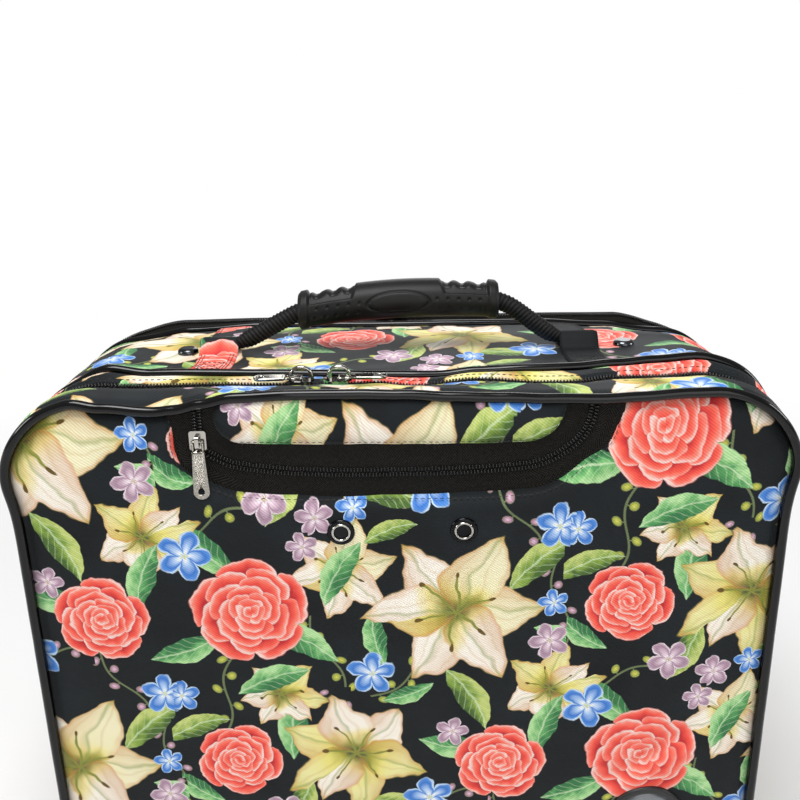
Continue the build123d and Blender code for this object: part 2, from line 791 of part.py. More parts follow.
# Badge: a rim and a bare dome
with BuildPart() as badge_rim:
    with BuildSketch(plane_at(front_face)):
        with Locations((badge_x, badge_z)):
            Circle(badge_diameter / 2)
            Circle(badge_diameter / 2 - badge_rim_wide, mode=Mode.SUBTRACT)
    extrude(amount=badge_high)
    fillet(badge_rim.faces().sort_by(Axis.Y)[0].edges(), badge_rim_wide / 2 - badge_edge)
badge_rim.part.label = "badge_rim"
export_step(badge_rim.part, "parts/badge_rim.step")

with BuildPart() as badge_dome:
    with BuildSketch(plane_at(front_face)):
        with Locations((badge_x, badge_z)):
            Circle(badge_diameter / 2 - badge_rim_wide - seam_gap)
    extrude(amount=dome_high)
    fillet(badge_dome.faces().sort_by(Axis.Y)[0].edges(), dome_high - badge_edge)
badge_dome.part.label = "badge_dome"
export_step(badge_dome.part, "parts/badge_dome.step")

# Print: the larger fields of colour on the front panel
with BuildPart() as print_roses:
    with BuildSketch(plane_at(front_face)) as roses:
        draw_roses()
        clip_print(roses)
    extrude(amount=print_thick)
print_roses.part.label = "print_roses"
export_step(print_roses.part, "parts/print_roses.step")

with BuildPart() as print_lilies:
    with BuildSketch(plane_at(front_face)) as lilies:
        draw_lilies()
        draw_roses(1, Mode.SUBTRACT)
        clip_print(lilies)
    extrude(amount=print_thick)
print_lilies.part.label = "print_lilies"
export_step(print_lilies.part, "parts/print_lilies.step")

with BuildPart() as print_leaves:
    with BuildSketch(plane_at(front_face)) as leaves:
        for x, z, length, turn in motif_spots(leaf_places):
            with Locations(Location((x, z), turn)):
                Ellipse(length / 2, length / 5)
        draw_roses(1, Mode.SUBTRACT)
        draw_lilies(1, Mode.SUBTRACT)
        clip_print(leaves)
    extrude(amount=print_thick)
print_leaves.part.label = "print_leaves"
export_step(print_leaves.part, "parts/print_leaves.step")

# Trolley: a cup at the top and a base at the bottom hold two outer tubes on the back panel
with BuildPart() as trolley_cup:
    with BuildSketch(plane_at(trolley_back)):
        with Locations((0, cup_low)):
            Rectangle(2 * cup_half_width, cup_top - cup_low, align=(Align.CENTER, Align.MIN))
        with Locations((0, cup_scoop)):
            Rectangle(2 * (tube_x - cup_arm_inner), case_top, align=(Align.CENTER, Align.MIN), mode=Mode.SUBTRACT)
    extrude(amount=trolley_depth)
    fillet(trolley_cup.edges().filter_by(Axis.Y), cup_corner)
    with BuildSketch(Plane.XY.offset(cup_low)):
        with Locations(*tube_places):
            Circle(outer_tube / 2 + seat_fit)
    extrude(amount=case_top, mode=Mode.SUBTRACT)
    with BuildSketch(plane_at(trolley_back)):
        draw_screws(screw_shank / 2 + screw_clear, screw_rows[0:1])
    extrude(amount=trolley_depth, mode=Mode.SUBTRACT)
    with BuildSketch(plane_at(trolley_back)):
        draw_screws(screw_head / 2 + screw_clear, screw_rows[0:1])
    extrude(amount=screw_head_high, mode=Mode.SUBTRACT)
trolley_cup.part.label = "trolley_cup"
export_step(trolley_cup.part, "parts/trolley_cup.step")

with BuildPart() as trolley_base:
    with BuildSketch(plane_at(trolley_back)):
        with Locations((0, trolley_base_low)):
            Rectangle(2 * trolley_base_half, trolley_base_high, align=(Align.CENTER, Align.MIN))
    extrude(amount=trolley_depth)
    fillet(trolley_base.edges().filter_by(Axis.Y), trolley_base_corner)
    with BuildSketch(Plane.XY.offset(tube_low)):
        with Locations(*tube_places):
            Circle(outer_tube / 2 + seat_fit)
    extrude(amount=case_top, mode=Mode.SUBTRACT)
    with BuildSketch(plane_at(trolley_back)):
        draw_screws(screw_shank / 2 + screw_clear, screw_rows[1:2])
    extrude(amount=trolley_depth, mode=Mode.SUBTRACT)
    with BuildSketch(plane_at(trolley_back)):
        draw_screws(screw_head / 2 + screw_clear, screw_rows[1:2])
    extrude(amount=screw_head_high, mode=Mode.SUBTRACT)
trolley_base.part.label = "trolley_base"
export_step(trolley_base.part, "parts/trolley_base.step")

# Screws that hold the cup and the base on the back panel
with BuildPart() as screws:
    with BuildSketch(plane_at(trolley_back)):
        draw_screws(screw_head / 2, screw_rows)
    extrude(amount=screw_head_high)
    with BuildSketch(plane_at(trolley_back - screw_head_high)):
        draw_screws(screw_shank / 2, screw_rows)
    extrude(amount=trolley_depth - screw_head_high + panel_thick - screw_tip_gap)
screws.part.label = "screws"
export_step(screws.part, "parts/screws.step")

# Tubes, one inside the other
for name, diameter, low, high in (
        ("outer_tubes", outer_tube, tube_low, cup_top),
        ("middle_tubes", middle_tube, tube_low + stage_step, cup_top),
        ("inner_tubes", inner_tube, tube_low + 2 * stage_step, bar_low)):
    with BuildPart() as tubes:
        with BuildSketch(Plane.XY.offset(low)):
            with Locations(*tube_places):
                Circle(diameter / 2)
                Circle(diameter / 2 - tube_wall, mode=Mode.SUBTRACT)
        extrude(amount=high - low)
    tubes.part.label = name
    export_step(tubes.part, f"parts/{name}.step")

# Trolley grip: hollow inside for the bar that the button pushes
with BuildPart() as trolley_grip:
    with Locations((0, tube_y, trolley_grip_low)):
        Box(2 * trolley_grip_half, trolley_grip_depth, trolley_grip_high,
            align=(Align.CENTER, Align.CENTER, Align.MIN))
    fillet(trolley_grip.edges().filter_by(Axis.Z), trolley_grip_corner)
    fillet(trolley_grip.faces().sort_by(Axis.Z)[-1].edges(), trolley_grip_edge)
    with Locations((0, tube_y, bar_low)):
        Box(tube_spacing + rod_diameter + rod_clear, rod_diameter + 2 * rod_clear, bar_cavity_high,
            mode=Mode.SUBTRACT,
            align=(Align.CENTER, Align.CENTER, Align.MIN))
        Box(button_long + 2 * button_gap, button_wide + 2 * button_gap, case_top, mode=Mode.SUBTRACT,
            align=(Align.CENTER, Align.CENTER, Align.MIN))
    with BuildSketch(Plane.XY.offset(trolley_grip_low)):
        with Locations(*tube_places):
            Circle(inner_tube / 2 + seat_fit)
    extrude(amount=socket_deep, mode=Mode.SUBTRACT)
trolley_grip.part.label = "trolley_grip"
export_step(trolley_grip.part, "parts/trolley_grip.step")

# Button, the bar and rods below it, and its spring
button_low = rod_bar_low + rod_bar_high
with BuildPart() as release_button:
    with Locations((0, tube_y, button_low)):
        Box(button_long, button_wide, trolley_grip_top + button_proud - button_low,
            align=(Align.CENTER, Align.CENTER, Align.MIN))
    fillet(release_button.edges().filter_by(Axis.Z), button_corner)
release_button.part.label = "release_button"
export_step(release_button.part, "parts/release_button.step")

with BuildPart() as release_rods:
    with Locations((0, tube_y, rod_bar_low)):
        Box(tube_spacing, rod_diameter, rod_bar_high, align=(Align.CENTER, Align.CENTER, Align.MIN))
    with BuildSketch(Plane.XY.offset(rod_low)):
        with Locations(*tube_places):
            Circle(rod_diameter / 2)
    extrude(amount=rod_bar_low + rod_bar_high - rod_low)
release_rods.part.label = "release_rods"
export_step(release_rods.part, "parts/release_rods.step")

spring_rise = spring_high - spring_wire
with BuildPart() as button_spring:
    with BuildLine(Plane((0, tube_y, bar_low + spring_wire / 2))) as spring_line:
        Helix(spring_rise / spring_turns, spring_rise, (spring_diameter - spring_wire) / 2)
    with BuildSketch(Plane(spring_line.line @ 0, z_dir=spring_line.line % 0)):
        Circle(spring_wire / 2)
    sweep()
button_spring.part.label = "button_spring"
export_step(button_spring.part, "parts/button_spring.step")

# Wheels, each on two bearings, in a housing at each rear lower corner
core_radius = wheel_radius - tyre_thick
bearing_offset = (core_width - bearing_width) / 2
for side_name, side in (("left", -1), ("right", 1)):
    middle = Plane.YZ.offset(side * wheel_x)
    with BuildPart() as wheel_tyre:
        with BuildSketch(middle):
            with Locations((wheel_y, wheel_radius)):
                Circle(wheel_radius)
        extrude(amount=wheel_width / 2, both=True)
        fillet(wheel_tyre.edges(), tyre_shoulder)
        with BuildSketch(middle):
            with Locations((wheel_y, wheel_radius)):
                Circle(core_radius + seat_fit)
        extrude(amount=wheel_width, both=True, mode=Mode.SUBTRACT)
    wheel_tyre.part.label = f"wheel_tyre_{side_name}"
    export_step(wheel_tyre.part, f"parts/wheel_tyre_{side_name}.step")

    with BuildPart() as wheel_core:
        with BuildSketch(middle):
            with Locations((wheel_y, wheel_radius)):
                Circle(core_radius)
                Circle(bearing_diameter / 2 - bearing_stop, mode=Mode.SUBTRACT)
        extrude(amount=core_width / 2, both=True)
        for face in (-1, 1):
            with BuildSketch(Plane.YZ.offset(side * wheel_x + face * bearing_offset)):
                with Locations((wheel_y, wheel_radius)):
                    Circle(bearing_diameter / 2 + seat_fit)
            extrude(amount=bearing_width / 2, both=True, mode=Mode.SUBTRACT)
    wheel_core.part.label = f"wheel_core_{side_name}"
    export_step(wheel_core.part, f"parts/wheel_core_{side_name}.step")

    with BuildPart() as wheel_bearings:
        for face in (-1, 1):
            with BuildSketch(Plane.YZ.offset(side * wheel_x + face * bearing_offset)):
                with Locations((wheel_y, wheel_radius)):
                    Circle(bearing_diameter / 2)
                    Circle(bearing_bore / 2, mode=Mode.SUBTRACT)
            extrude(amount=bearing_width / 2, both=True)
    wheel_bearings.part.label = f"wheel_bearings_{side_name}"
    export_step(wheel_bearings.part, f"parts/wheel_bearings_{side_name}.step")

    with BuildPart() as wheel_housing:
        with BuildSketch(Plane.XZ.offset(-housing_back)) as housing_face:
            with Locations((side * (housing_inner + housing_outer) / 2, housing_low)):
                Rectangle(housing_outer - housing_inner, housing_high - housing_low,
                          align=(Align.CENTER, Align.MIN))
            outer_foot = housing_face.vertices().sort_by(Axis.Y)[0:2].sort_by(Axis.X)
            fillet(outer_foot[-1] if side > 0 else outer_foot[0], housing_corner)
        extrude(amount=housing_back - housing_front)
        fillet(wheel_housing.faces().sort_by(Axis.Y)[-1].edges(), housing_edge)
        with BuildSketch(middle):
            with Locations((wheel_y, wheel_radius)):
                Circle(wheel_cavity_radius)
        extrude(amount=wheel_cavity_wide / 2, both=True, mode=Mode.SUBTRACT)
        with BuildSketch(middle):
            with Locations((wheel_y, wheel_radius)):
                Circle(bearing_bore / 2)
        extrude(amount=case_width / 4, both=True, mode=Mode.SUBTRACT)
    wheel_housing.part.label = f"wheel_housing_{side_name}"
    export_step(wheel_housing.part, f"parts/wheel_housing_{side_name}.step")

with BuildPart() as wheel_axles:
    for side in (-1, 1):
        with BuildSketch(Plane.YZ.offset(side * housing_outer)):
            with Locations((wheel_y, wheel_radius)):
                Circle(axle_head_diameter / 2)
        extrude(amount=side * axle_head_high)
        with BuildSketch(Plane.YZ.offset(side * housing_outer)):
            with Locations((wheel_y, wheel_radius)):
                Circle(bearing_bore / 2 - axle_fit)
        extrude(amount=-side * (housing_outer - housing_inner))
wheel_axles.part.label = "wheel_axles"
export_step(wheel_axles.part, "parts/wheel_axles.step")

# Front feet: as tall as the wheels lift the case
with BuildPart() as front_feet:
    for side in (-1, 1):
        with BuildSketch(Plane.XY.offset(case_bottom + gusset_inset)):
            with Locations((side * foot_x, foot_y)):
                RectangleRounded(*foot_size, foot_corner)
        with BuildSketch():
            with Locations((side * foot_x, foot_y)):
                RectangleRounded(foot_size[0] - 2 * foot_shrink, foot_size[1] - 2 * foot_shrink,
                                 foot_corner - 1)
        loft()
front_feet.part.label = "front_feet"
export_step(front_feet.part, "parts/front_feet.step")
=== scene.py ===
# %% [markdown]
# A soft rolling case for a laptop, dressed in Blender on the frame that the CAD model gives.
# The frame holds every rigid part at its true place, in metres. This script makes the soft parts
# again, such as the printed cloth, the piping and the zips, and gives each part its finish.
# The case stands with its middle over the origin, and its front looks to -Y.

from functools import partialmethod
from math import atan2, ceil, cos, exp, floor, hypot, pi, radians, sin, sqrt

import bmesh
import bpy
import numpy as np
from mathutils import Matrix, Vector, noise


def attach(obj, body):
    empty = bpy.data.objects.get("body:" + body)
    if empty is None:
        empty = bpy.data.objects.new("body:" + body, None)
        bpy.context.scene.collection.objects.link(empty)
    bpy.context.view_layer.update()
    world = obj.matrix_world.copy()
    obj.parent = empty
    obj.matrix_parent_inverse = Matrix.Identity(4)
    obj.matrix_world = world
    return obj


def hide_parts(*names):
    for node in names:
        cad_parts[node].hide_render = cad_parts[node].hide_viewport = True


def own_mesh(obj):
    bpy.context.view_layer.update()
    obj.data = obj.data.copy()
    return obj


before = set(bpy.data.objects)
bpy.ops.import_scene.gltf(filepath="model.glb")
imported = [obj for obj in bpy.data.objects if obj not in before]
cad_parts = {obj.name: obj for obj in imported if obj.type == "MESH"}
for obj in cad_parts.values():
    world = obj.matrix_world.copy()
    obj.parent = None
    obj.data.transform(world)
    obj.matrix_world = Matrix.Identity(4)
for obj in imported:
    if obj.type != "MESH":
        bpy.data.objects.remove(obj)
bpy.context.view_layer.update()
scene = bpy.context.scene

# %% [markdown]
# The camera looks at the case from the front and 20 degrees above. Its lens and place come from
# lines of the real case whose sizes are known: the piping's corners, the grip and the rivets.
# It leans by one degree, as a camera held by hand does. A camera looks along its own -Z, so
# the tilt is a turn about X, and the lean is a turn about its own Z, which comes first.

# %% Camera
camera_data = bpy.data.cameras.new("camera")
camera_data.lens = 45
camera = bpy.data.objects.new("camera", camera_data)
camera.matrix_world = (Matrix.Translation((0, -0.619, 0.546))
                       @ Matrix.Rotation(radians(70), 4, "X")
                       @ Matrix.Rotation(radians(-1.1), 4, "Z"))
scene.collection.objects.link(camera)
scene.camera = camera
scene.view_settings.view_transform = "Standard"
print("camera at", tuple(round(v, 3) for v in camera.location))

# %% [markdown]
# A material is a tree of nodes. Setting each up by hand takes several lines, so one small
# function adds a node, sets it and links it, and hands back the output that the next one needs.
# Patterns are mostly arithmetic, and a node for each sum would hide what they say. So an output
# can stand in a Python formula, where a plus sign adds the node that adds. Colours are picked as
# hex values, which are sRGB, and a shader wants linear light, so one function turns them.

# %% Colour and node helpers
MM = 0.001


class Wire:
    """A node's output. In a formula, each sign adds the Math node that works it out."""

    def __init__(self, socket):
        self.socket = socket
        self.tree = socket.id_data

    def math(self, operation, *others):
        """The result of a Math node that takes this value first."""
        return add(self.tree, "Math", dict(enumerate((self, *others))), operation=operation)

    __add__ = partialmethod(math, "ADD")
    __sub__ = partialmethod(math, "SUBTRACT")
    __mul__ = partialmethod(math, "MULTIPLY")
    __truediv__ = partialmethod(math, "DIVIDE")
    __pow__ = partialmethod(math, "POWER")
    __gt__ = partialmethod(math, "GREATER_THAN")
    __lt__ = partialmethod(math, "LESS_THAN")
    __abs__ = partialmethod(math, "ABSOLUTE")


def linear(hex_colour):
    """The linear colour of an sRGB hex value such as "#1e2426"."""
    parts = [int(hex_colour[i:i + 2], 16) / 255 for i in (1, 3, 5)]
    return [p / 12.92 if p <= 0.04045 else ((p + 0.055) / 1.055) ** 2.4 for p in parts] + [1]


def feed(node, inputs):
    """Set a node's inputs, or link them where the value is a wire."""
    for name, value in dict(inputs).items():
        if isinstance(value, Wire):
            value.tree.links.new(value.socket, node.inputs[name])
        else:
            node.inputs[name].default_value = value


def add(tree, kind, inputs=(), out=0, **settings):
    """Add a node, set it, set or link its inputs, and return one of its outputs."""
    node = tree.nodes.new(kind if kind.startswith("Node") else "ShaderNode" + kind)
    for name, value in settings.items():
        setattr(node, name, value)
    feed(node, inputs)
    return Wire(node.outputs[out]) if len(node.outputs) else node


def material(name, **shader):
    """A new material, its node tree and its Principled shader, with some of its sockets set."""
    made = bpy.data.materials.new(name)
    made.use_nodes = True
    shade = made.node_tree.nodes["Principled BSDF"]
    feed(shade, {socket.replace("_", " "): value for socket, value in shader.items()})
    return made, made.node_tree, shade


def ramp(value, stops):
    """Colours along a value: stops are pairs of a place and a hex colour."""
    colours = add(value.tree, "ValToRGB", {0: value})
    elements = colours.socket.node.color_ramp.elements
    while len(elements) < len(stops):
        elements.new(0.5)
    for element, (place, colour) in zip(elements, stops):
        element.position = place
        element.color = linear(colour)
    return colours

# %% [markdown]
# The stage is a pale floor with no edge in sight. Beyond a metre from the case it turns into
# a plain white glow for the camera, for reflections and for light through clear things, so the
# ground fades to white while the case keeps its shadow. The world does the same behind it.

# %% Floor and world
def seen_by_rays(tree, *kinds):
    """1 for light that comes from the camera, or from rays of some other kinds."""
    seen = add(tree, "LightPath", out="Is Camera Ray")
    for kind in kinds:
        seen = seen.math("MAXIMUM", add(tree, "LightPath", out=f"Is {kind} Ray"))
    return seen


bm = bmesh.new()
bmesh.ops.create_circle(bm, cap_ends=True, segments=64, radius=8)
floor_mesh = bpy.data.meshes.new("floor")
bm.to_mesh(floor_mesh)
bm.free()
floor_piece = bpy.data.objects.new("floor", floor_mesh)
scene.collection.objects.link(floor_piece)
floor_paint, tree, shade = material("matt_white_paint", Roughness=0.9,
                                    Base_Color=linear("#eeeeee"))
away = add(tree, "VectorMath", {0: add(tree, "TexCoord", out="Object")}, out="Value",
           operation="LENGTH")
fade = add(tree, "MapRange", {"Value": away, "From Min": 0.35, "From Max": 1.1},
           interpolation_type="SMOOTHSTEP")
fade = fade * seen_by_rays(tree, "Glossy", "Transmission")
glow = add(tree, "Emission", {"Color": linear("#ffffff"), "Strength": 1.0})
mixed = add(tree, "MixShader", {0: fade, 1: Wire(shade.outputs[0]), 2: glow})
feed(tree.nodes["Material Output"], {"Surface": mixed})
floor_mesh.materials.append(floor_paint)

world = scene.world or bpy.data.worlds.new("world")
scene.world = world
world.use_nodes = True
tree = world.node_tree
tree.nodes.clear()
strength = add(tree, "MapRange", {"Value": seen_by_rays(tree, "Transmission"), "To Min": 0.29})
add(tree, "OutputWorld", {"Surface": add(tree, "Background", {"Color": linear("#ffffff"),
                                                              "Strength": strength})})

# %% [markdown]
# Soft studio light: a large overhead panel that draws the bright line along the top of the
# glossy piping, a broad fill from the camera's side, and a dimmer panel at each side and behind.

# %% Lamps
for name, size, power, place, aim in (
        ("overhead_panel", 0.6, 14.5, (-0.15, -0.35, 1.45), (0, 0, 0.3)),
        ("front_fill", 1.3, 10.5, (0.35, -1.7, 0.85), (0, 0, 0.25)),
        ("left_panel", 0.4, 6, (-1.5, -0.3, 0.8), (0, 0, 0.25)),
        ("right_panel", 0.4, 6, (1.5, -0.1, 0.8), (0, 0, 0.25)),
        ("back_panel_lamp", 1.0, 7, (0.2, 1.6, 0.9), (0, 0, 0.25))):
    lamp_data = bpy.data.lights.new(name, "AREA")
    lamp_data.size = size
    lamp_data.energy = power
    lamp = bpy.data.objects.new(name, lamp_data)
    lamp.location = place
    lamp.rotation_euler = (Vector(aim) - Vector(place)).to_track_quat("-Z", "Y").to_euler()
    scene.collection.objects.link(lamp)

# %% [markdown]
# Everything soft on this case follows one outline: a rectangle with round corners, 444 mm wide.
# The piping, the cloth walls and the zips all run along it, each a little further in. So the
# outline is worked out once as a trace of places with the way outwards at each, and a loop of
# any piece is the trace moved inwards. The pocket's smile-shaped zip line gets a trace as well.

# %% Traces of the outline and the zip line
CASE_HALF, CASE_LOW, CASE_TOP = 222, 24, 356
CASE_MIDDLE = (CASE_LOW + CASE_TOP) / 2
TOP_CORNER, LOW_CORNER = 52, 30
MOUTH_LEFT, MOUTH_RIGHT, MOUTH_LOW = -112, 107, 316
MOUTH_LEFT_CORNER, MOUTH_RIGHT_CORNER = 20, 36


def smooth(low, high, value):
    """0 below low and 1 above high, with an easy slope between."""
    t = min(max((value - low) / (high - low), 0), 1)
    return t * t * (3 - 2 * t)


def along(table, value):
    """Read a table of (place, height) pairs at a value, with an easy slope between its rows."""
    if value <= table[0][0]:
        return table[0][1]
    for (x0, h0), (x1, h1) in zip(table, table[1:]):
        if value < x1:
            return h0 + (h1 - h0) * smooth(x0, x1, value)
    return table[-1][1]


def bump(gap, wide):
    """1 at no gap, and falling to nothing like a bell about as wide as wide."""
    return exp(-(gap / wide) ** 2)


def reach_of(places):
    """How far each of a row of places lies along their line."""
    far = [0.0]
    for p, q in zip(places, places[1:]):
        far.append(far[-1] + (q - p).length)
    return far


def even_steps(far, steps, count):
    """For even steps along a line: the stretch each falls in, the part of it, and how far."""
    k = 0
    for i in range(count):
        goal = far[-1] * i / steps
        while k < len(far) - 2 and far[k + 1] < goal:
            k += 1
        yield k, (goal - far[k]) / max(far[k + 1] - far[k], 1e-9), goal


def trace(corners, radii, closed, step):
    """Places and outward directions at even steps along straight runs and round corners.

    The corners go clockwise as seen from the front, so outwards is to the left of the run.
    """
    places, outs = [], []
    count, fine = len(corners), 40
    for i in range(count if closed else count - 1):
        a, b = Vector(corners[i]), Vector(corners[(i + 1) % count])
        radius = radii[(i + 1) % count]
        run = (b - a).normalized()
        out = Vector((-run.y, run.x))
        start, end = a + run * radii[i], b - run * radius
        places += [start.lerp(end, t / fine) for t in range(fine + 1)]
        outs += [out] * (fine + 1)
        if (closed or i < count - 2) and radius:
            after = (Vector(corners[(i + 2) % count]) - b).normalized()
            middle = b - run * radius + after * radius
            bend = atan2(run.x * after.y - run.y * after.x, run.dot(after))
            side = 1 if bend < 0 else -1
            for t in range(1, fine):
                turned = Matrix.Rotation(bend * t / fine, 2) @ out * side
                places.append(middle + turned * radius)
                outs.append(turned * side)
    if closed:
        places.append(places[0])
        outs.append(outs[0])
    far = reach_of(places)
    steps = max(1, round(far[-1] / step))
    result = [(places[k].lerp(places[k + 1], part), outs[k].lerp(outs[k + 1], part).normalized(), goal)
              for k, part, goal in even_steps(far, steps, steps if closed else steps + 1)]
    return result, far[-1]


case_trace, case_round = trace(
    [(0, CASE_LOW), (-CASE_HALF, CASE_LOW), (-CASE_HALF, CASE_TOP), (CASE_HALF, CASE_TOP),
     (CASE_HALF, CASE_LOW)], [0, LOW_CORNER, TOP_CORNER, TOP_CORNER, LOW_CORNER], True, 2.6)
mouth_trace, mouth_run = trace(
    [(MOUTH_LEFT, 362), (MOUTH_LEFT, MOUTH_LOW), (MOUTH_RIGHT, MOUTH_LOW), (MOUTH_RIGHT, 362)],
    [0, MOUTH_LEFT_CORNER, MOUTH_RIGHT_CORNER, 0], False, 1.5)
mouth_trace = [(place, -out, far) for place, out, far in mouth_trace]
print("round the case:", round(case_round, 1), "mm in", len(case_trace), "steps; zip line:",
      round(mouth_run, 1), "mm in", len(mouth_trace), "steps")

# %% [markdown]
# A packed soft case isn't a box: its front edge rides up over what is in the pocket, its zip
# snakes between the two rows of piping, and its sides swell. One function says how far each
# place has moved from the plain box, so pieces that are sewn together stay together. The tables
# give the rise in millimetres along the case, for each seam from the front to the back. It is
# nothing where rigid parts sit: at the zip's sliders, the strap's roots and the wheels.

# %% How the soft case settles
FRONT_SEAM, MAIN_ZIP, MIDDLE_SEAM, REAR_SEAM, REAR_ZIP = -105, -69, -47, 79, 87.5
seam_lifts = (
    (FRONT_SEAM, ((-183, 8), (-165, 4.3), (-135, 1.4), (-124, 2.4), (-110, 5.5), (-92, 8.8),
                  (-60, 10), (-23, 9.8), (0, 9), (28, 7.4), (56, 6.2), (84, 5.1), (111, 4.5),
                  (132, 5.2), (160, 6.8), (190, 7.5))),
    (MAIN_ZIP, ((-190, 6), (-150, 4), (-110, 4.2), (-84, 4), (-28, 4), (-12, 4), (9, 3.2),
                (44, 4.2), (82, 3.6), (98, 3.6), (126, 4.2), (152, 4.2), (180, 5), (200, 6))),
    (MIDDLE_SEAM, ((-196, 4), (-176, 8), (-150, 4.5), (-81, 3.1), (0, 0.8), (24, 0.4), (46, 2.4),
                   (77, 3.6), (106, 3.8), (131, 5.6), (153, 7.2), (185, 9.5))),
    (-20, ((-180, 4), (-160, 2), (-140, 0), (140, 0), (160, 2), (185, 5))),
    (30, ((-180, 0), (-150, 0), (150, 0), (185, 0))),
    (REAR_SEAM, ((-205, -5), (-180, -9), (-150, -4.5), (-100, -2), (0, -3), (100, -3.5),
                 (146, -6), (176, -10), (205, -5))),
    (86, ((-185, -5), (-156, -0.6), (-100, 0), (100, 0), (156, -0.6), (185, -6))),
)
zip_sway = ((-190, 2), (-140, 3), (-110, 3), (-66, 0), (-28, 0), (-14, 1), (9, -3.5), (44, 3.5),
            (84, -3), (98, -3), (126, 2.5), (152, 2), (178, 4), (200, 3))
# Depth, and how far the left and the right side swell there.
side_swell = ((FRONT_SEAM, 0, 0), (MAIN_ZIP, 1, 3), (MIDDLE_SEAM, 0, 4), (20, -1, 0), (96, -1, -1))
SHOULDER = 6.5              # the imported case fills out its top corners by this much
SMILE = 6                   # the pocket's zip line curves up by about this towards its ends


def settle(x, y, z):
    """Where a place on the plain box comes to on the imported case."""
    rows = [(row, along(table, x)) for row, table in seam_lifts]
    lift = along(rows, y) * smooth(318, 352, z)
    swell = along([(row, right if x > 0 else left) for row, left, right in side_swell], y)
    out = swell * smooth(150, 212, abs(x)) * smooth(70, 140, z)
    out += SHOULDER * smooth(150, 205, abs(x)) * bump(z - 328, 24)
    sway = along(zip_sway, x) * bump(y - MAIN_ZIP, 17) * smooth(330, 352, z)
    if y < -99:
        bow = min(abs(x / 92), 1.1) ** 3 * smooth(130, 105, abs(x))
        lift += SMILE * bow * bump(z - 314, 17)
    return Vector((x + (out if x > 0 else -out), y + sway, z + lift))


def case_place(step):
    """The place and the outward direction at a step of the case's trace, in three dimensions."""
    place, out, _ = case_trace[step % len(case_trace)]
    return Vector((place.x, 0, place.y)), Vector((out.x, 0, out.y))


def round_case(step, inset, y):
    """A place at a step of the case's trace, moved inwards and settled."""
    place, out = case_place(step)
    spot = place - out * inset
    return settle(spot.x, y, spot.z)


print("the front edge rises", round(settle(-50, FRONT_SEAM, 353).z - 353, 1),
      "mm left of its middle")

# %% [markdown]
# The helpers below build a piece the same way each time. A grid of faces is laid out by a
# function, which suits cloth because the grid's two directions become the cloth's own warp and
# weft. Each face corner keeps its place on the cloth in millimetres, so a print can follow the
# cloth round a bend. Work is in millimetres, and a finished piece is scaled to metres in its
# mesh, so that its object stays at the origin.

# %% Mesh helpers
def finish_piece(bm, name, finish, body="case", replaces=(), outward=True, wall=0):
    """Turn a bmesh in millimetres into a piece of the case that rides on a body."""
    if outward:
        bmesh.ops.recalc_face_normals(bm, faces=bm.faces)
    bmesh.ops.scale(bm, vec=(MM, MM, MM), verts=bm.verts)
    for face in bm.faces:
        face.smooth = True
    mesh = bpy.data.meshes.new(name)
    bm.to_mesh(mesh)
    bm.free()
    mesh.materials.append(finish)
    piece = bpy.data.objects.new(name, mesh)
    scene.collection.objects.link(piece)
    if wall:
        thick = piece.modifiers.new("cloth thickness", "SOLIDIFY")
        thick.thickness = wall * MM
        thick.offset = -1
    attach(piece, body)
    if replaces:
        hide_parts(*replaces)
    print(f"{name}: {len(mesh.polygons)} faces")
    return piece


def pour(lot, bm):
    """Move one bmesh's faces into another."""
    mesh = bpy.data.meshes.new("lot")
    lot.to_mesh(mesh)
    lot.free()
    bm.from_mesh(mesh)
    bpy.data.meshes.remove(mesh)


def lay_grid(nx, ny, where, closed=False, cloth=None):
    """A grid of nx by ny faces, whose corners where(i, j) places; closed joins its two ends."""
    bm = bmesh.new()
    bmesh.ops.create_grid(bm, x_segments=nx, y_segments=ny, size=0.5)
    weave = bm.loops.layers.float_vector.new("cloth")
    index = {v: (round((v.co.x + 0.5) * nx), round((v.co.y + 0.5) * ny)) for v in bm.verts}
    if cloth:
        for face in bm.faces:
            for corner in face.loops:
                corner[weave] = (*cloth(*index[corner.vert]), 0)
    for v, (i, j) in index.items():
        v.co = where(i, j)
    if closed:
        bmesh.ops.remove_doubles(bm, verts=bm.verts, dist=0.01)
    return bm


def cap_tube(bm, near=0.01):
    """Join a tube's seam and close its two ends."""
    bmesh.ops.remove_doubles(bm, verts=bm.verts, dist=near)
    bmesh.ops.holes_fill(bm, edges=[e for e in bm.edges if e.is_boundary], sides=0)


def rough(x, y, z, size, seed=0.0):
    """Smooth noise from -1 to 1 whose bumps are about size millimetres wide."""
    return noise.noise(Vector((x / size + seed, y / size - seed, z / size)))


test = lay_grid(4, 3, lambda i, j: (i, 0, j))
print("a 4 by 3 grid has", len(test.verts), "corners and", len(test.faces), "faces")
test.free()

# %% [markdown]
# The piping is a cord wrapped in soft black PVC, sewn into each seam of the case. It is a round
# bead of 6 mm. A curve with a bevel would do, but a grid laid round the settled outline keeps
# its place on the seam exactly, and small changes of height make it lie like cord in a seam.
# The vinyl is smooth and shiny: a low roughness and a coat draw the bright line of the studio
# panel along it, and a fine grain breaks that line up a little.

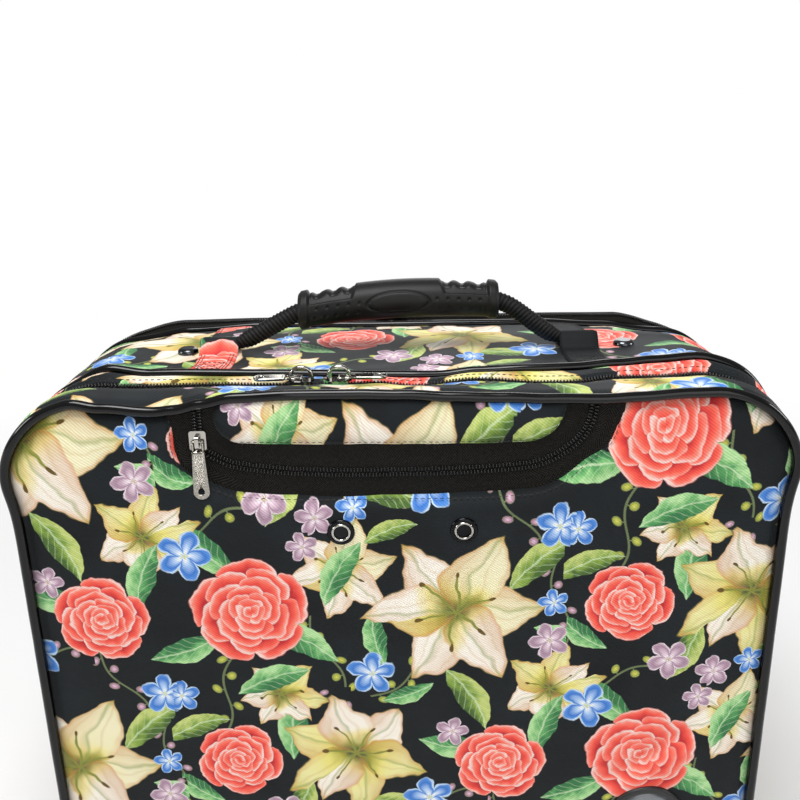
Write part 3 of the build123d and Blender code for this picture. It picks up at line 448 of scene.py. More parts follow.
# %% Vinyl piping
piping_vinyl, tree, shade = material("black_pvc_vinyl", Roughness=0.15, Specular_IOR_Level=0.12,
                                     Coat_Weight=0.4, Coat_Roughness=0.05)
grain_place = add(tree, "TexCoord", out="Object")
grain = add(tree, "TexNoise", {"Vector": grain_place, "Scale": 900.0, "Detail": 2.0})
wear = add(tree, "TexNoise", {"Vector": grain_place, "Scale": 60.0, "Detail": 3.0})
feed(shade, {"Base Color": ramp(wear, ((0.3, "#050505"), (0.75, "#0d0d0d"))),
             "Roughness": add(tree, "MapRange", {"Value": wear, "To Min": 0.12, "To Max": 0.24}),
             "Normal": add(tree, "Bump", {"Height": grain, "Strength": 0.06, "Distance": 0.0002})})
BEAD = 3


def bead(node, y, seed):
    """A piping bead round the case at depth y, in place of the plain one."""
    sides = 14

    def where(i, j):
        place, out = case_place(i)
        spot = settle(place.x, y, place.z) - out * BEAD
        wobble = 0.22 * rough(*spot, 26, seed)
        reach = BEAD + 0.04 * rough(*spot, 8, seed + 3)
        turn = 2 * pi * j / sides
        return (spot + out * (cos(turn) * reach + wobble)
                + Vector((0, sin(turn) * reach + wobble, 0)))

    bm = lay_grid(len(case_trace), sides, where, closed=True)
    finish_piece(bm, node + "_bead", piping_vinyl, replaces=[node])


for node, y, seed in (("front_piping", FRONT_SEAM, 1), ("middle_piping", MIDDLE_SEAM, 5),
                      ("rear_piping", REAR_SEAM, 9)):
    bead(node, y, seed)

# %% [markdown]
# The cloth is a polyester twill with a flower print in watercolour style on a near-black ground.
# An image would be the quick way to print it. Here each flower is drawn by nodes instead, so it
# stays sharp at any distance. A flower is drawn round its own middle, in units of its own radius,
# and the mesh tells it where that middle is: every face corner stores its place within the
# nearest flower of each kind. Each kind then needs only one drawing, a node group, however
# many flowers there are.

# %% Where the flowers lie in the print's repeat
# Millimetres from the repeat's middle: across, up, radius, turn in degrees. The kinds come in
# the order in which they are painted, and the last lies on top.
REPEAT_WIDE, REPEAT_HIGH = 236, 216
REPEAT_MIDDLE = (-20, 190)
FLOWER_SIDE = 1.7           # a drawing reaches this many of its radii from its middle
print_plan = {
    "sprig_spot": ((24, -4, 30, 35), (-92, 96, 30, 200), (88, 96, 30, 300), (-88, -20, 32, 80),
                   (44, -98, 30, 10), (112, 40, 28, 100), (-26, 8, 30, 290), (-36, -20, 26, 150)),
    "low_leaf_spot": ((-40, 20, 26, 330), (-92, 78, 24, 130), (98, 70, 26, 40), (50, -60, 24, 170),
                      (-50, -40, 26, 80), (14, -102, 22, 350), (2, 20, 20, 100), (-110, -40, 22, 20)),
    "low_lily_spot": ((-16, 66, 36, 25), (108, -18, 33, 200), (-56, -18, 30, 95)),
    "leaf_spot": ((-18, 66, 24, 60), (-108, 14, 24, 200), (60, -22, 26, 300), (-60, -6, 24, 20),
                  (104, -44, 24, 70), (-46, -100, 24, 250), (22, -20, 17, 200), (12, 92, 17, 20),
                  (112, 20, 16, 330), (-112, -88, 19, 140)),
    "lily_spot": ((50, 38, 58, 12), (-12, -62, 48, 40)),
    "rose_spot": ((-70, 40, 36, 20), (78, -72, 29, 140), (-84, -66, 27, 250)),
    "blossom_spot": ((0, -4, 16, 10), (-106, 78, 17, 50), (106, 16, 13, 80), (34, -98, 17, 20),
                     (-58, -106, 14, 30), (-30, 100, 12, 60), (110, 92, 15, 0), (-38, 82, 10, 0),
                     (108, 42, 10, 20), (-116, -18, 12, 70), (48, -48, 11, 40), (-8, 106, 10, 15)),
}


def spots_over(plan, low, high):
    """Every spot of a plan within a stretch of cloth; each second column hangs half a repeat down."""
    rows = []
    for column in range(floor(low[0] / REPEAT_WIDE) - 1, ceil(high[0] / REPEAT_WIDE) + 2):
        for row in range(floor(low[1] / REPEAT_HIGH) - 2, ceil(high[1] / REPEAT_HIGH) + 2):
            drop = REPEAT_HIGH / 2 if column % 2 else 0
            for k, (x, y, radius, turn) in enumerate(plan):
                rows.append((REPEAT_MIDDLE[0] + column * REPEAT_WIDE + x,
                             REPEAT_MIDDLE[1] + row * REPEAT_HIGH - drop + y,
                             radius, radians(turn), (k * 0.37 + 0.13) % 1))
    return np.array(rows)


def print_cloth(piece, shift=(0, 0)):
    """Store at each face corner its place within the nearest flower of each kind."""
    mesh = piece.data
    corners = np.empty(len(mesh.loops) * 3)
    mesh.attributes["cloth"].data.foreach_get("vector", corners)
    corners = corners.reshape(-1, 3)[:, :2] + shift
    starts = np.empty(len(mesh.polygons), int)
    sizes = np.empty(len(mesh.polygons), int)
    mesh.polygons.foreach_get("loop_start", starts)
    mesh.polygons.foreach_get("loop_total", sizes)
    middles = np.add.reduceat(corners, starts) / sizes[:, None]
    for layer, plan in print_plan.items():
        spots = spots_over(plan, corners.min(0), corners.max(0))
        gap = np.hypot(middles[:, None, 0] - spots[None, :, 0],
                       middles[:, None, 1] - spots[None, :, 1]) / spots[None, :, 2]
        nearest = np.repeat(gap.argmin(1), sizes)
        close = np.repeat(gap.min(1) < FLOWER_SIDE, sizes)
        x0, y0, radius, turn, seed = spots[nearest].T
        dx, dy = corners[:, 0] - x0, corners[:, 1] - y0
        local = np.stack([(dx * np.cos(turn) + dy * np.sin(turn)) / radius,
                          (dy * np.cos(turn) - dx * np.sin(turn)) / radius, seed], 1)
        local[~close] = (9, 9, 0)
        mesh.attributes.new(layer, "FLOAT_VECTOR", "CORNER").data.foreach_set("vector", local.ravel())


print("flowers in one repeat:", {name: len(plan) for name, plan in print_plan.items()})

# %% [markdown]
# Each drawing starts alike: take the place within the flower, let noise push it about a little,
# as wet paint runs, and turn it into a radius and an angle. The angle counts petals. Colours are
# then laid one over another, and each has a mask: a wash, a thin line of ink, or a row of veins.

# %% Start of a flower's drawing
def flower_group(name):
    """A new node group from a place to a colour and a mask, and the place that it is given."""
    tree = bpy.data.node_groups.new(name, "ShaderNodeTree")
    tree.interface.new_socket("Place", in_out="INPUT", socket_type="NodeSocketVector")
    tree.interface.new_socket("Colour", in_out="OUTPUT", socket_type="NodeSocketColor")
    tree.interface.new_socket("Mask", in_out="OUTPUT", socket_type="NodeSocketFloat")
    return tree, add(tree, "NodeGroupInput")


def finish_group(tree, colour, mask):
    """Link a drawing's colour and mask to its group's outputs."""
    add(tree, "NodeGroupOutput", {0: colour, 1: mask})
    print(tree.name, "has", len(tree.nodes), "nodes")


def paint_run(place, amount, scale=3.0):
    """Push a place about by noise, as the edge of wet paint runs."""
    tree = place.tree
    drift = add(tree, "TexNoise", {"Vector": place, "Scale": scale, "Detail": 2.0}, out="Color")
    drift = add(tree, "VectorMath", {0: drift, 1: (0.5, 0.5, 0.5)}, operation="SUBTRACT")
    drift = add(tree, "VectorMath", {0: drift, 1: (amount, amount, 0)}, operation="MULTIPLY")
    return add(tree, "VectorMath", {0: place, 1: drift}, operation="ADD")


def split(place):
    """The x, the y and the seed of a place."""
    return [Wire(part) for part in add(place.tree, "SeparateXYZ", {0: place}).socket.node.outputs]


def length(x, y):
    """How long the flat vector of x and y is."""
    flat = add(x.tree, "CombineXYZ", {0: x, 1: y})
    return add(x.tree, "VectorMath", {0: flat}, out="Value", operation="LENGTH")


def polar(x, y, seed):
    """Radius, and angle in turns from 0 to 1, started at a place of the seed's own."""
    return length(x, y), y.math("ARCTAN2", x) * (1 / (2 * pi)) + 2.0 + seed * 5.3


def blend_colours(part, below, above):
    """Lay one colour over another where part is 1. A colour is a wire or a hex value."""
    below, above = (linear(c) if isinstance(c, str) else c for c in (below, above))
    return add(part.tree, "Mix", {0: part, 6: below, 7: above}, out=2, data_type="RGBA")


def above_zero(value, soft=0.03):
    """1 where a value is over zero, with an edge as soft as ink in cloth."""
    return add(value.tree, "MapRange", {"Value": value, "From Max": soft},
               interpolation_type="SMOOTHSTEP")


def blotches(place, scale):
    """The uneven depth of colour that a wash of paint dries to."""
    return add(place.tree, "TexNoise", {"Vector": place, "Scale": scale, "Detail": 4.0})


def ink(gap, full, gone, depth=1.0):
    """Ink that is at its full depth where a gap is under full, and fades until it is gone."""
    return add(gap.tree, "MapRange", {"Value": gap, "From Min": full, "From Max": gone,
                                      "To Min": depth, "To Max": 0.0})


def veins(wave, start, depth):
    """Thin lines along the crests of a wave, from the height where they start."""
    return add(wave.tree, "MapRange", {"Value": wave, "From Min": start, "To Max": depth})

# %% [markdown]
# A rose is rings of petals, one on another, and each ring is smaller. A ring's edge bulges once
# for each petal. Colour follows the depth inside that edge: a pale rim where the petal curls
# out, coral in its body, and deep red in the shadow where it goes under the next ring.

# %% Rose
tree, place = flower_group("painted_rose")
place = paint_run(place, 0.2)
radius, angle = polar(*split(place))
blot = blotches(place, 4.0)
colour, whole = "#d8382f", None
for reach, petals, start in ((1.0, 5, 0.1), (0.84, 5, 0.55), (0.68, 4, 0.3), (0.53, 4, 0.85),
                             (0.39, 3, 0.4), (0.27, 3, 0.9), (0.16, 2, 0.2)):
    turn = (angle * petals + start).math("FRACT")
    bulge = (turn * pi).math("SINE") ** 0.45
    depth = bulge * (0.17 * reach) + turn * (0.05 * reach) + reach * 0.8 - radius
    petal = ramp(depth + blot * 0.12 - 0.07 + turn * 0.05,
                 ((0.0, "#fbe6e0"), (0.04, "#f9cdc3"), (0.08, "#fb8978"),
                  (0.13, "#fb6453"), (0.19, "#ea4c44"), (0.26, "#c23034")))
    mask = above_zero(depth)
    colour = blend_colours(mask, colour, petal)
    whole = whole or mask
finish_group(tree, colour, whole)

# %% [markdown]
# A lily has six long petals, three behind and three in front. A petal lies along the middle of
# its share of the turn, bends a little to one side, and is widest before its half. It runs from
# a grey-green throat to cream, has a green rib, fine veins and an edge of warm brown, and some
# petals are more yellow than others. Stamens with olive ends stand out of the throat.

# %% Lily
tree, place = flower_group("painted_lily")
place = paint_run(place, 0.3, 2.4)
radius, angle = polar(*split(place))
blot = blotches(place, 3.0)
colour, whole = "#8a8f4a", 0.0
for start in (0.5, 0.0):
    turn = angle * 3.0 + start
    chance = add(tree, "TexWhiteNoise", {"W": turn.math("FLOOR")}, noise_dimensions="1D")
    off = turn.math("FRACT") * (2 * pi / 3) - pi / 3
    cosine = off.math("COSINE")
    long = radius * cosine / (chance * 0.2 + 0.84)
    wide = long ** 2.0 * (chance * 0.5 - 0.25) + radius * off.math("SINE")
    half = (long ** 0.72 * pi).math("SINE") * 0.33
    across = abs(wide)
    depth = half - across
    run = long + (blot * 0.3 - 0.15)
    cream = ramp(run, ((0.02, "#4f5a3c"), (0.12, "#96954a"), (0.26, "#efe09a"),
                       (0.42, "#fdf6e8"), (0.8, "#faf0e2"), (1.0, "#edcf98")))
    yellow = ramp(run, ((0.02, "#55603f"), (0.14, "#a9a53c"), (0.32, "#ece27a"),
                        (0.65, "#efe9a0"), (1.0, "#c3c258")))
    tint = add(tree, "MapRange", {"Value": chance, "From Min": 0.6, "From Max": 0.7, "To Max": 0.9})
    petal = blend_colours(tint, cream, yellow)
    vein = veins((wide / (half + 0.06) * 17.0).math("SINE"), 0.55, 0.22)
    petal = blend_colours(vein, petal, "#c9a15c")
    fold = add(tree, "MapRange", {"Value": wide, "From Max": 0.2, "To Max": 0.4})
    petal = blend_colours(fold, petal, "#cc955a")
    petal = blend_colours(ink(across, 0.0, 0.03, 0.6), petal, "#8f9a4c")
    petal = blend_colours(ink(depth, 0.0, 0.07, 0.75), petal, "#d8924a")
    mask = above_zero(depth) * (cosine > 0.0) * (long < 1.0)
    colour = blend_colours(mask, colour, petal)
    whole = mask.math("MAXIMUM", whole)
off = (angle * 6.0 + 0.25).math("FRACT") * (pi / 3) - pi / 6
across = abs(off * radius)
stalk = ink(across, 0.008, 0.02) * (radius < 0.4)
colour = blend_colours(stalk, colour, "#8d9142")
tip = ink(length(radius - 0.42, across * 1.7), 0.035, 0.05)
finish_group(tree, blend_colours(tip, colour, "#6a5426"), whole)

# %% [markdown]
# A leaf lies along its own x. Its two halves catch the light differently, side veins run forward
# from the midrib, and its edge fades to a pale green.

# %% Leaf
tree, place = flower_group("painted_leaf")
place = paint_run(place, 0.18, 2.5)
x, y, seed = split(place)
bow = x * x
wide = bow * 0.16 + y
across = abs(wide)
green = wide * 1.1 + blotches(place, 3.0)
colour = ramp(green, ((0.25, "#3d7a4c"), (0.45, "#5aa05f"), (0.6, "#86c27c"), (0.8, "#b6e0a0")))
olive = ramp(green, ((0.25, "#4f6b34"), (0.5, "#88a64a"), (0.75, "#c5d27a")))
colour = blend_colours(seed > 0.62, colour, olive)
vein = veins(((across * -1.3 + x) * 26.0).math("SINE"), 0.7, 0.28)
colour = blend_colours(vein, colour, "#d4ecc0")
colour = blend_colours(ink(across, 0.01, 0.035, 0.55), colour, "#dcefc6")
finish_group(tree, colour, above_zero(bow * -0.36 + 0.36 - across))

# %% [markdown]
# Small blossoms have five round petals, blue or mauve by their seed, white towards the middle.

# %% Blossom
tree, place = flower_group("painted_blossom")
place = paint_run(place, 0.3, 1.8)
x, y, seed = split(place)
radius, angle = polar(x, y, seed)
lobe = ((angle * 5.0).math("FRACT") * pi).math("SINE") ** 0.6
edge = lobe * 0.5 + 0.48
body = radius / edge + ink(lobe, 0.0, 1.0, 0.45)
blue = ramp(body, ((0.08, "#c9cf6a"), (0.2, "#f1f6fb"), (0.45, "#a9c8f0"), (0.75, "#3f7bd0"),
                   (0.92, "#5d93dc"), (1.0, "#c3d9f2")))
mauve = ramp(body, ((0.08, "#b9a35a"), (0.2, "#f5eaf0"), (0.45, "#d8bccb"), (0.75, "#a98a9e"),
                    (0.92, "#bb9fae"), (1.0, "#e6d3dc")))
finish_group(tree, blend_colours(seed > 0.52, blue, mauve), above_zero(edge - radius, 0.06))

# %% [markdown]
# A sprig is a thin stem that waves along its own x, with round buds on alternate sides.

# %% Sprig
tree, place = flower_group("painted_sprig")
x, y, seed = split(place)
off = (x * 3.4).math("SINE") * -0.13 + y
across = abs(off)
count = x * 3.0 + 3.0
side = count.math("FLOOR").math("MODULO", 2.0) * 0.3 - 0.15
bud_x = count.math("FRACT") * 0.333 - 0.166
bud = length(bud_x, off - side)
twig = (abs(bud_x) < 0.012) * (across < 0.15) * (off * side > 0.0)
mask = ink(across, 0.014, 0.03).math("MAXIMUM", twig).math("MAXIMUM", ink(bud, 0.085, 0.1))
green = ramp(bud, ((0.0, "#d8d468"), (0.06, "#a9b04a"), (0.1, "#6d7a55")))
plum = ramp(bud, ((0.0, "#e3c9d8"), (0.06, "#b98aa0"), (0.1, "#6d7a55")))
finish_group(tree, blend_colours(seed > 0.5, green, plum), mask * (abs(x) < 1.0))

# %% [markdown]
# The cloth itself is woven polyester twill. Real threads lie about 0.25 mm apart, too fine to
# show from here, so the ribs are drawn 0.9 mm apart. The ribs make the surface bump, and their
# grooves get painted shade, darker towards near-black. The print is laid over the near-black
# ground, last drawing on top. Cloth scatters light, so its roughness is high, and a little sheen
# is the fuzz of its fibres.

# %% Printed twill
def printed_twill(name):
    """The flower print on black twill."""
    made, tree, shade = material(name, Roughness=0.6, Sheen_Weight=0.05, Sheen_Roughness=0.4,
                                 Specular_IOR_Level=0.14)
    cloth = add(tree, "Attribute", out="Vector", attribute_name="cloth")
    flat = add(tree, "Mapping", {"Vector": cloth, "Scale": (0.9, 1.3, 1)})
    ribs = add(tree, "TexWave", {"Vector": flat, "Scale": 0.31, "Distortion": 0.6, "Detail": 1.0},
               out="Fac", bands_direction="DIAGONAL")
    colour = ramp(blotches(cloth, 0.02), ((0.3, "#131618"), (0.7, "#1e2326")))
    for layer in print_plan:
        drawing = "painted_" + layer.removeprefix("low_").removesuffix("_spot")
        spot = add(tree, "Attribute", out="Vector", attribute_name=layer)
        flower = add(tree, "Group", {0: spot}, node_tree=bpy.data.node_groups[drawing])
        drawn, mask = (Wire(part) for part in flower.socket.node.outputs)
        colour = blend_colours(mask, colour, drawn)
    # Painted shade: the grooves between the ribs are darkened towards near-black.
    groove_shade = ink(ribs, 0.0, 1.0, 0.22)
    feed(shade, {"Base Color": blend_colours(groove_shade, colour, "#0d0f10"),
                 "Normal": add(tree, "Bump", {"Height": ribs, "Strength": 0.35,
                                              "Distance": 0.0003})})
    print(name, "has", len(tree.nodes), "nodes and", len(tree.links), "links")
    return made


cloth_finish = printed_twill("printed_polyester_twill")

# %% [markdown]
# The front is padded cloth with a mouth cut out for the pocket's zip. Its edge dives under the
# piping, and round the mouth the cloth is folded back and sewn 3 mm from the fold. A grid of
# faces is laid over it, what lies outside is deleted, and the ragged edge is pulled onto the
# true one, which a signed distance makes easy: it is negative inside, and its slope points out.

# %% Distances to the front's edges
SEWN = 13.4                 # the cloth's fold lies this far from the pocket's zip line
FLAP_REACH = 6              # the flap reaches this much nearer the slider than the line says


def box_distance(x, z, low, high, corner):
    """Signed distance to a rectangle from low to high with round corners."""
    cx, cz = (low[0] + high[0]) / 2, (low[1] + high[1]) / 2
    dx = abs(x - cx) - (high[0] - low[0]) / 2 + corner
    dz = abs(z - cz) - (high[1] - low[1]) / 2 + corner
    return hypot(max(dx, 0), max(dz, 0)) + min(max(dx, dz), 0) - corner


def case_distance(x, z, inset):
    """Signed distance to the case's outline, moved in by inset."""
    corner = TOP_CORNER if z > CASE_MIDDLE else LOW_CORNER
    return box_distance(x, z, (-CASE_HALF + inset, CASE_LOW + inset),
                        (CASE_HALF - inset, CASE_TOP - inset), corner - inset)


def mouth_distance(x, z, grow):
    """Signed distance to the pocket's mouth, grown by grow."""
    corner = (MOUTH_LEFT_CORNER if x < 0 else MOUTH_RIGHT_CORNER) + grow
    left = MOUTH_LEFT - grow
    if grow < 0:
        corner, left = max(corner, 16), left - FLAP_REACH
    return box_distance(x, z, (left, MOUTH_LOW - grow), (MOUTH_RIGHT + grow, 500), corner)


def sewn_sheet(step, distance, low, high, where, cloth):
    """A grid of cloth trimmed to where distance is negative, with its edge pulled onto the line."""
    nx, ny = round((high[0] - low[0]) / step), round((high[1] - low[1]) / step)
    bm = lay_grid(nx, ny, lambda i, j: (low[0] + (high[0] - low[0]) * i / nx, 0,
                                        low[1] + (high[1] - low[1]) * j / ny))
    outside = [v for v in bm.verts if distance(v.co.x, v.co.z) > -0.35 * step]
    bmesh.ops.delete(bm, geom=outside, context="VERTS")
    bmesh.ops.delete(bm, geom=[v for v in bm.verts if not v.link_faces], context="VERTS")
    near = 0.05
    for v in bm.verts:
        if v.is_boundary:
            for _ in range(4):
                here = distance(v.co.x, v.co.z)
                slope = Vector((distance(v.co.x + near, v.co.z) - here,
                                distance(v.co.x, v.co.z + near) - here)) / near
                if slope.length > 0.2:
                    v.co.x -= here * slope.x / slope.length_squared
                    v.co.z -= here * slope.y / slope.length_squared
    weave = bm.loops.layers.float_vector["cloth"]
    for face in bm.faces:
        for corner in face.loops:
            corner[weave] = (*cloth(corner.vert.co.x, corner.vert.co.z), 0)
    for v in bm.verts:
        v.co = where(v.co.x, v.co.z)
    bmesh.ops.recalc_face_normals(bm, faces=bm.faces)
    return bm


print("distance at the front's middle:", round(case_distance(0, 190, 6), 1), "mm")

# %% [markdown]
# How far the padded front stands out is a sum of simple things: a soft swell away from the
# piping, the fold round the mouth with its row of stitches, and creases where the cloth pulls.
# Two shallow folds run from the mouth's lower edge and across the lower right corner.

# %% Printed front
TAPE_FACE = -104.2          # depth of the pocket's zip tape, which the folded edges lie on
TUCKED = 5.2                # the cloth's edge is tucked this far inside the outline


def crease(x, z, start, end, wide):
    """From 0 to 1, how close a place is to the line of a fold."""
    run = Vector(end) - Vector(start)
    t = min(max((Vector((x, z)) - Vector(start)).dot(run) / run.length_squared, 0), 1)
    gap = (Vector((x, z)) - Vector(start) - run * t).length
    return bump(gap, wide) * sin(pi * min(max(t, 0.02), 0.98)) ** 0.5


def front_skin(x, z):
    """The padded front's face: depth y at a place, before the case settles."""
    edge = -case_distance(x, z, BEAD)
    mouth = mouth_distance(x, z, SEWN)
    y = -102.2 - 5.0 * (1 - exp(-edge / 9)) - 2.2 * smooth(8, 80, edge)
    y = TAPE_FACE + (y - TAPE_FACE) * (1 - exp(-max(mouth, 0) / 1.6))
    y += 0.7 * bump(mouth - 3.2, 0.8) - 1.0 * bump(mouth - 8, 4.5)
    y += 1.1 * rough(x, 0, z, 70, 2) + 0.45 * rough(x, 0, z, 24, 7)
    y += 1.3 * crease(x, z, (-34, 296), (-8, 272), 4) - 1.1 * crease(x, z, (-30, 288), (0, 262), 5)
    y += 1.4 * crease(x, z, (120, 96), (188, 150), 6) - 1.2 * crease(x, z, (128, 88), (196, 140), 8)
    return y


front_bm = sewn_sheet(3.0, lambda x, z: max(case_distance(x, z, TUCKED), -mouth_distance(x, z, SEWN)),
                      (-CASE_HALF, CASE_LOW), (CASE_HALF, CASE_TOP),
                      lambda x, z: settle(x, front_skin(x, z), z), lambda x, z: (x, z))
printed_front = finish_piece(front_bm, "padded_printed_front", cloth_finish,
                             replaces=["front_panel", "print_roses", "print_lilies", "print_leaves"],
                             outward=False, wall=2.0)
print_cloth(printed_front)

# %% [markdown]
# The flap above the zip is a thicker pad than the front. It swells like a small pillow, and its
# edge is folded under and sewn, so it stands about 6 mm proud of the zip's tape.

# %% Pocket flap
def flap_skin(x, z):
    """The flap's face: depth y at a place, before the case settles."""
    fold = -mouth_distance(x, z, -SEWN)
    edge = -case_distance(x, z, BEAD)
    y = TAPE_FACE - 5.4 * (1 - exp(-max(fold, 0) / 3.2)) * (1 - exp(-edge / 8))
    return y + 0.6 * bump(fold - 4.0, 0.9) + 1.3 * rough(x, 0, z, 34, 4) * smooth(0, 8, fold)


flap_bm = sewn_sheet(2.0, lambda x, z: max(case_distance(x, z, TUCKED), mouth_distance(x, z, -SEWN)),
                     (-104, 320), (100, CASE_TOP),
                     lambda x, z: settle(x, flap_skin(x, z), z), lambda x, z: (x + 31, z - 77))
pocket_cover = finish_piece(flap_bm, "padded_pocket_flap", cloth_finish,
                            replaces=["pocket_flap"], outward=False, wall=2.0)
print_cloth(pocket_cover)

# %% [markdown]
# Three bands of the same cloth make the walls between the rows of piping. Each is a strip laid
# round the outline. Across its width it is tucked in beside the piping, swells a little, and
# where a zip runs along it the cloth is folded under. The rear corners low down are left out,
# because the wheels' housings sit there.

# %% Cloth walls
FRONT_WALL, ZIP_WALL, REAR_WALL = (-102.2, -73.2), (-65, -49.8), (-44.2, 76.2)


def wall_skin(ends, folds, swell, seed):
    """How far in a band's cloth lies at a step and a depth y; folds says which edges are at a zip."""
    def inset(step, y):
        place, _, far = case_trace[step % len(case_trace)]
        near_front, near_back = y - ends[0], ends[1] - y
        tuck = 1.0
        for gap, fold in ((near_front, folds[0]), (near_back, folds[1])):
            tuck *= 1 - exp(-max(gap, 0) / (1.1 if fold else 1.8))
        open_cloth = smooth(0, 9, near_front) * smooth(0, 9, near_back)
        puff = swell + 1.5 * smooth(180, 212, abs(place.x)) * smooth(70, 120, place.y)
        dents = 0.8 * rough(far, y, 0, 38, seed) + 0.35 * rough(far, y, 0, 14, seed + 5)
        return 4.6 - 2.1 * tuck - puff * open_cloth - dents * tuck * (0.4 + 0.6 * open_cloth)
    return inset


def wall_band(name, ends, step, inset, shift, replaces, keep=None, reach=0):
    """A band of printed cloth round the case between two depths.

    Below the zip's ends its front edge reaches further forward by reach.
    """
    front, back = ends
    count, rows = len(case_trace), max(4, round((back - front) / step))

    def depth(i, j):
        edge = front - reach * smooth(96, 84, case_trace[i % count][0].y)
        return edge + (back - edge) * j / rows

    far = [t[2] for t in case_trace] + [case_round]
    bm = lay_grid(count, rows, lambda i, j: round_case(i, inset(i, depth(i, j)), depth(i, j)),
                  closed=True, cloth=lambda i, j: (far[i], depth(i, j)))
    if keep:
        spare = [f for f in bm.faces if not keep(f.calc_center_median())]
        bmesh.ops.delete(bm, geom=spare, context="FACES")
    piece = finish_piece(bm, name, cloth_finish, replaces=replaces, wall=1.6)
    print_cloth(piece, shift)


def clear_of_wheels(spot):
    """Whether a place on the rear walls is outside the wheels' housings."""
    return not (abs(spot.x) > 178 and spot.y > 52 and spot.z < 58)


front_wall_skin = wall_skin(FRONT_WALL, (False, True), 1.4, 11)
zip_wall_skin = wall_skin(ZIP_WALL, (True, False), 0.6, 21)
rear_skin = wall_skin(REAR_WALL, (False, False), 0.0, 31)
wall_band("front_wall", FRONT_WALL, 2.4, front_wall_skin, (-560, 150), ["front_gusset"])
wall_band("zip_wall", ZIP_WALL, 2.2, zip_wall_skin, (-600, 285), ["zip_gusset"], reach=8)
wall_band("rear_wall", REAR_WALL, 3.2, rear_skin, (-815, 90), ["rear_gusset"], clear_of_wheels)

# %% [markdown]
# Zip tape is polyester woven in a herringbone: its ribs change direction every few millimetres.
# It lies flat behind the cloth's folded edges, and a stitch line holds it. On the tape ride two
# rows of nylon coil that lock into each other. Each turn of a coil is one small rounded bead
# here, a few dozen faces, repeated along the line at the coil's real pitch of about 1.9 mm.

# %% Zip tape and coil
tape_finish, tree, shade = material("herringbone_zip_tape", Roughness=0.75, Specular_IOR_Level=0.12)
weave_place = add(tree, "Attribute", out="Vector", attribute_name="cloth")
run, across, _ = split(weave_place)
ribs = ((across.math("PINGPONG", 4.2) + run) * (2 * pi / 1.5)).math("SINE")
dusty = add(tree, "TexNoise", {"Vector": weave_place, "Scale": 0.6, "Detail": 3.0})
# The tape's colour is painted shade on its ribs, darker in their grooves and lighter on their crests,
# mixed with a random tone of the tape.
feed(shade, {"Base Color": ramp(ribs * 0.3 + dusty, ((0.2, "#090908"), (0.8, "#262420"))),
             "Normal": add(tree, "Bump", {"Height": ribs, "Strength": 0.8, "Distance": 0.0004})})

coil_finish, tree, shade = material("black_nylon_coil", Roughness=0.16)
coil_tone = add(tree, "TexNoise", {"Vector": add(tree, "TexCoord", out="Object"), "Scale": 300.0})
feed(shade, {"Base Color": ramp(coil_tone, ((0.3, "#040404"), (0.8, "#0d0d0d")))})


def add_beads(bm, places):
    """Add a small rounded bead at each matrix. Small lots are joined, as one big mesh is slow."""
    for start in range(0, len(places), 50):
        lot = bmesh.new()
        for at in places[start:start + 50]:
            bmesh.ops.create_uvsphere(lot, u_segments=6, v_segments=4, radius=1, matrix=at)
        pour(lot, bm)


def stretched(spot, *axes):
    """The matrix that puts a unit ball at a spot and stretches it along three axes."""
    return Matrix.Translation(spot) @ Matrix(axes).transposed().to_4x4()


def paces(line, pitch):
    """Even paces along a line of (place, up) pairs: each one's place and its three directions."""
    gone, due = 0.0, 0.0
    for (p, up), (q, _) in zip(line, line[1:]):
        long = (q - p).length
        if long == 0:
            continue
        ahead = (q - p).normalized()
        across = ahead.cross(up).normalized()
        while due <= gone + long:
            yield p + ahead * (due - gone), ahead, across, across.cross(ahead)
            due += pitch
        gone += long


def coil_row(name, line, replaces, half_wide=1.75, half_high=1.0, pitch=1.9):
    """Two locked rows of coil beads along a line of (place, up) pairs in millimetres."""
    bm, places = bmesh.new(), []
    for spot, ahead, across, up in paces(line, pitch / 2):
        side = 1 if len(places) % 2 else -1
        places.append(stretched(spot + across * side * half_wide * 0.9, ahead * 0.3 * pitch,
                                across * half_wide, up * half_high))
    add_beads(bm, places)
    finish_piece(bm, name, coil_finish, replaces=replaces)


def case_line(lowest):
    """The steps of the case's trace above a height."""
    return [k for k, (place, _, _) in enumerate(case_trace) if place.y > lowest]


def zip_line(inset, y, lowest):
    """The settled line round the top of the case at depth y, as (place, up) pairs."""
    return [(round_case(k, inset, y), case_place(k)[1]) for k in case_line(lowest)]


def wall_tape(name, y, half, inset, lowest, replaces):
    """Zip tape round the top of the case, behind the coil."""
    steps = case_line(lowest)
    bm = lay_grid(len(steps) - 1, 8,
                  lambda i, j: round_case(steps[i], inset, y + half * (j / 4 - 1)),
                  cloth=lambda i, j: (case_trace[steps[i]][2], half * (j / 4 - 1)))
    finish_piece(bm, name, tape_finish, replaces=replaces, wall=0.8)


wall_tape("main_tape", MAIN_ZIP, 9.5, 4.6, 90, ["main_zip_tape"])
wall_tape("rear_tape", REAR_ZIP, 5.2, 3.7, 200, ["rear_zip_tape"])
coil_row("main_coil", zip_line(3.4, MAIN_ZIP, 90), ["main_zip_coil"], 1.3)
coil_row("rear_coil", zip_line(2.8, REAR_ZIP, 200), ["rear_zip_coil"])


def mouth_spot(step, offset, y):
    """A place beside the pocket's zip line, settled."""
    place, out, _ = mouth_trace[step]
    spot = place + out * offset
    return settle(spot.x, y, spot.y)


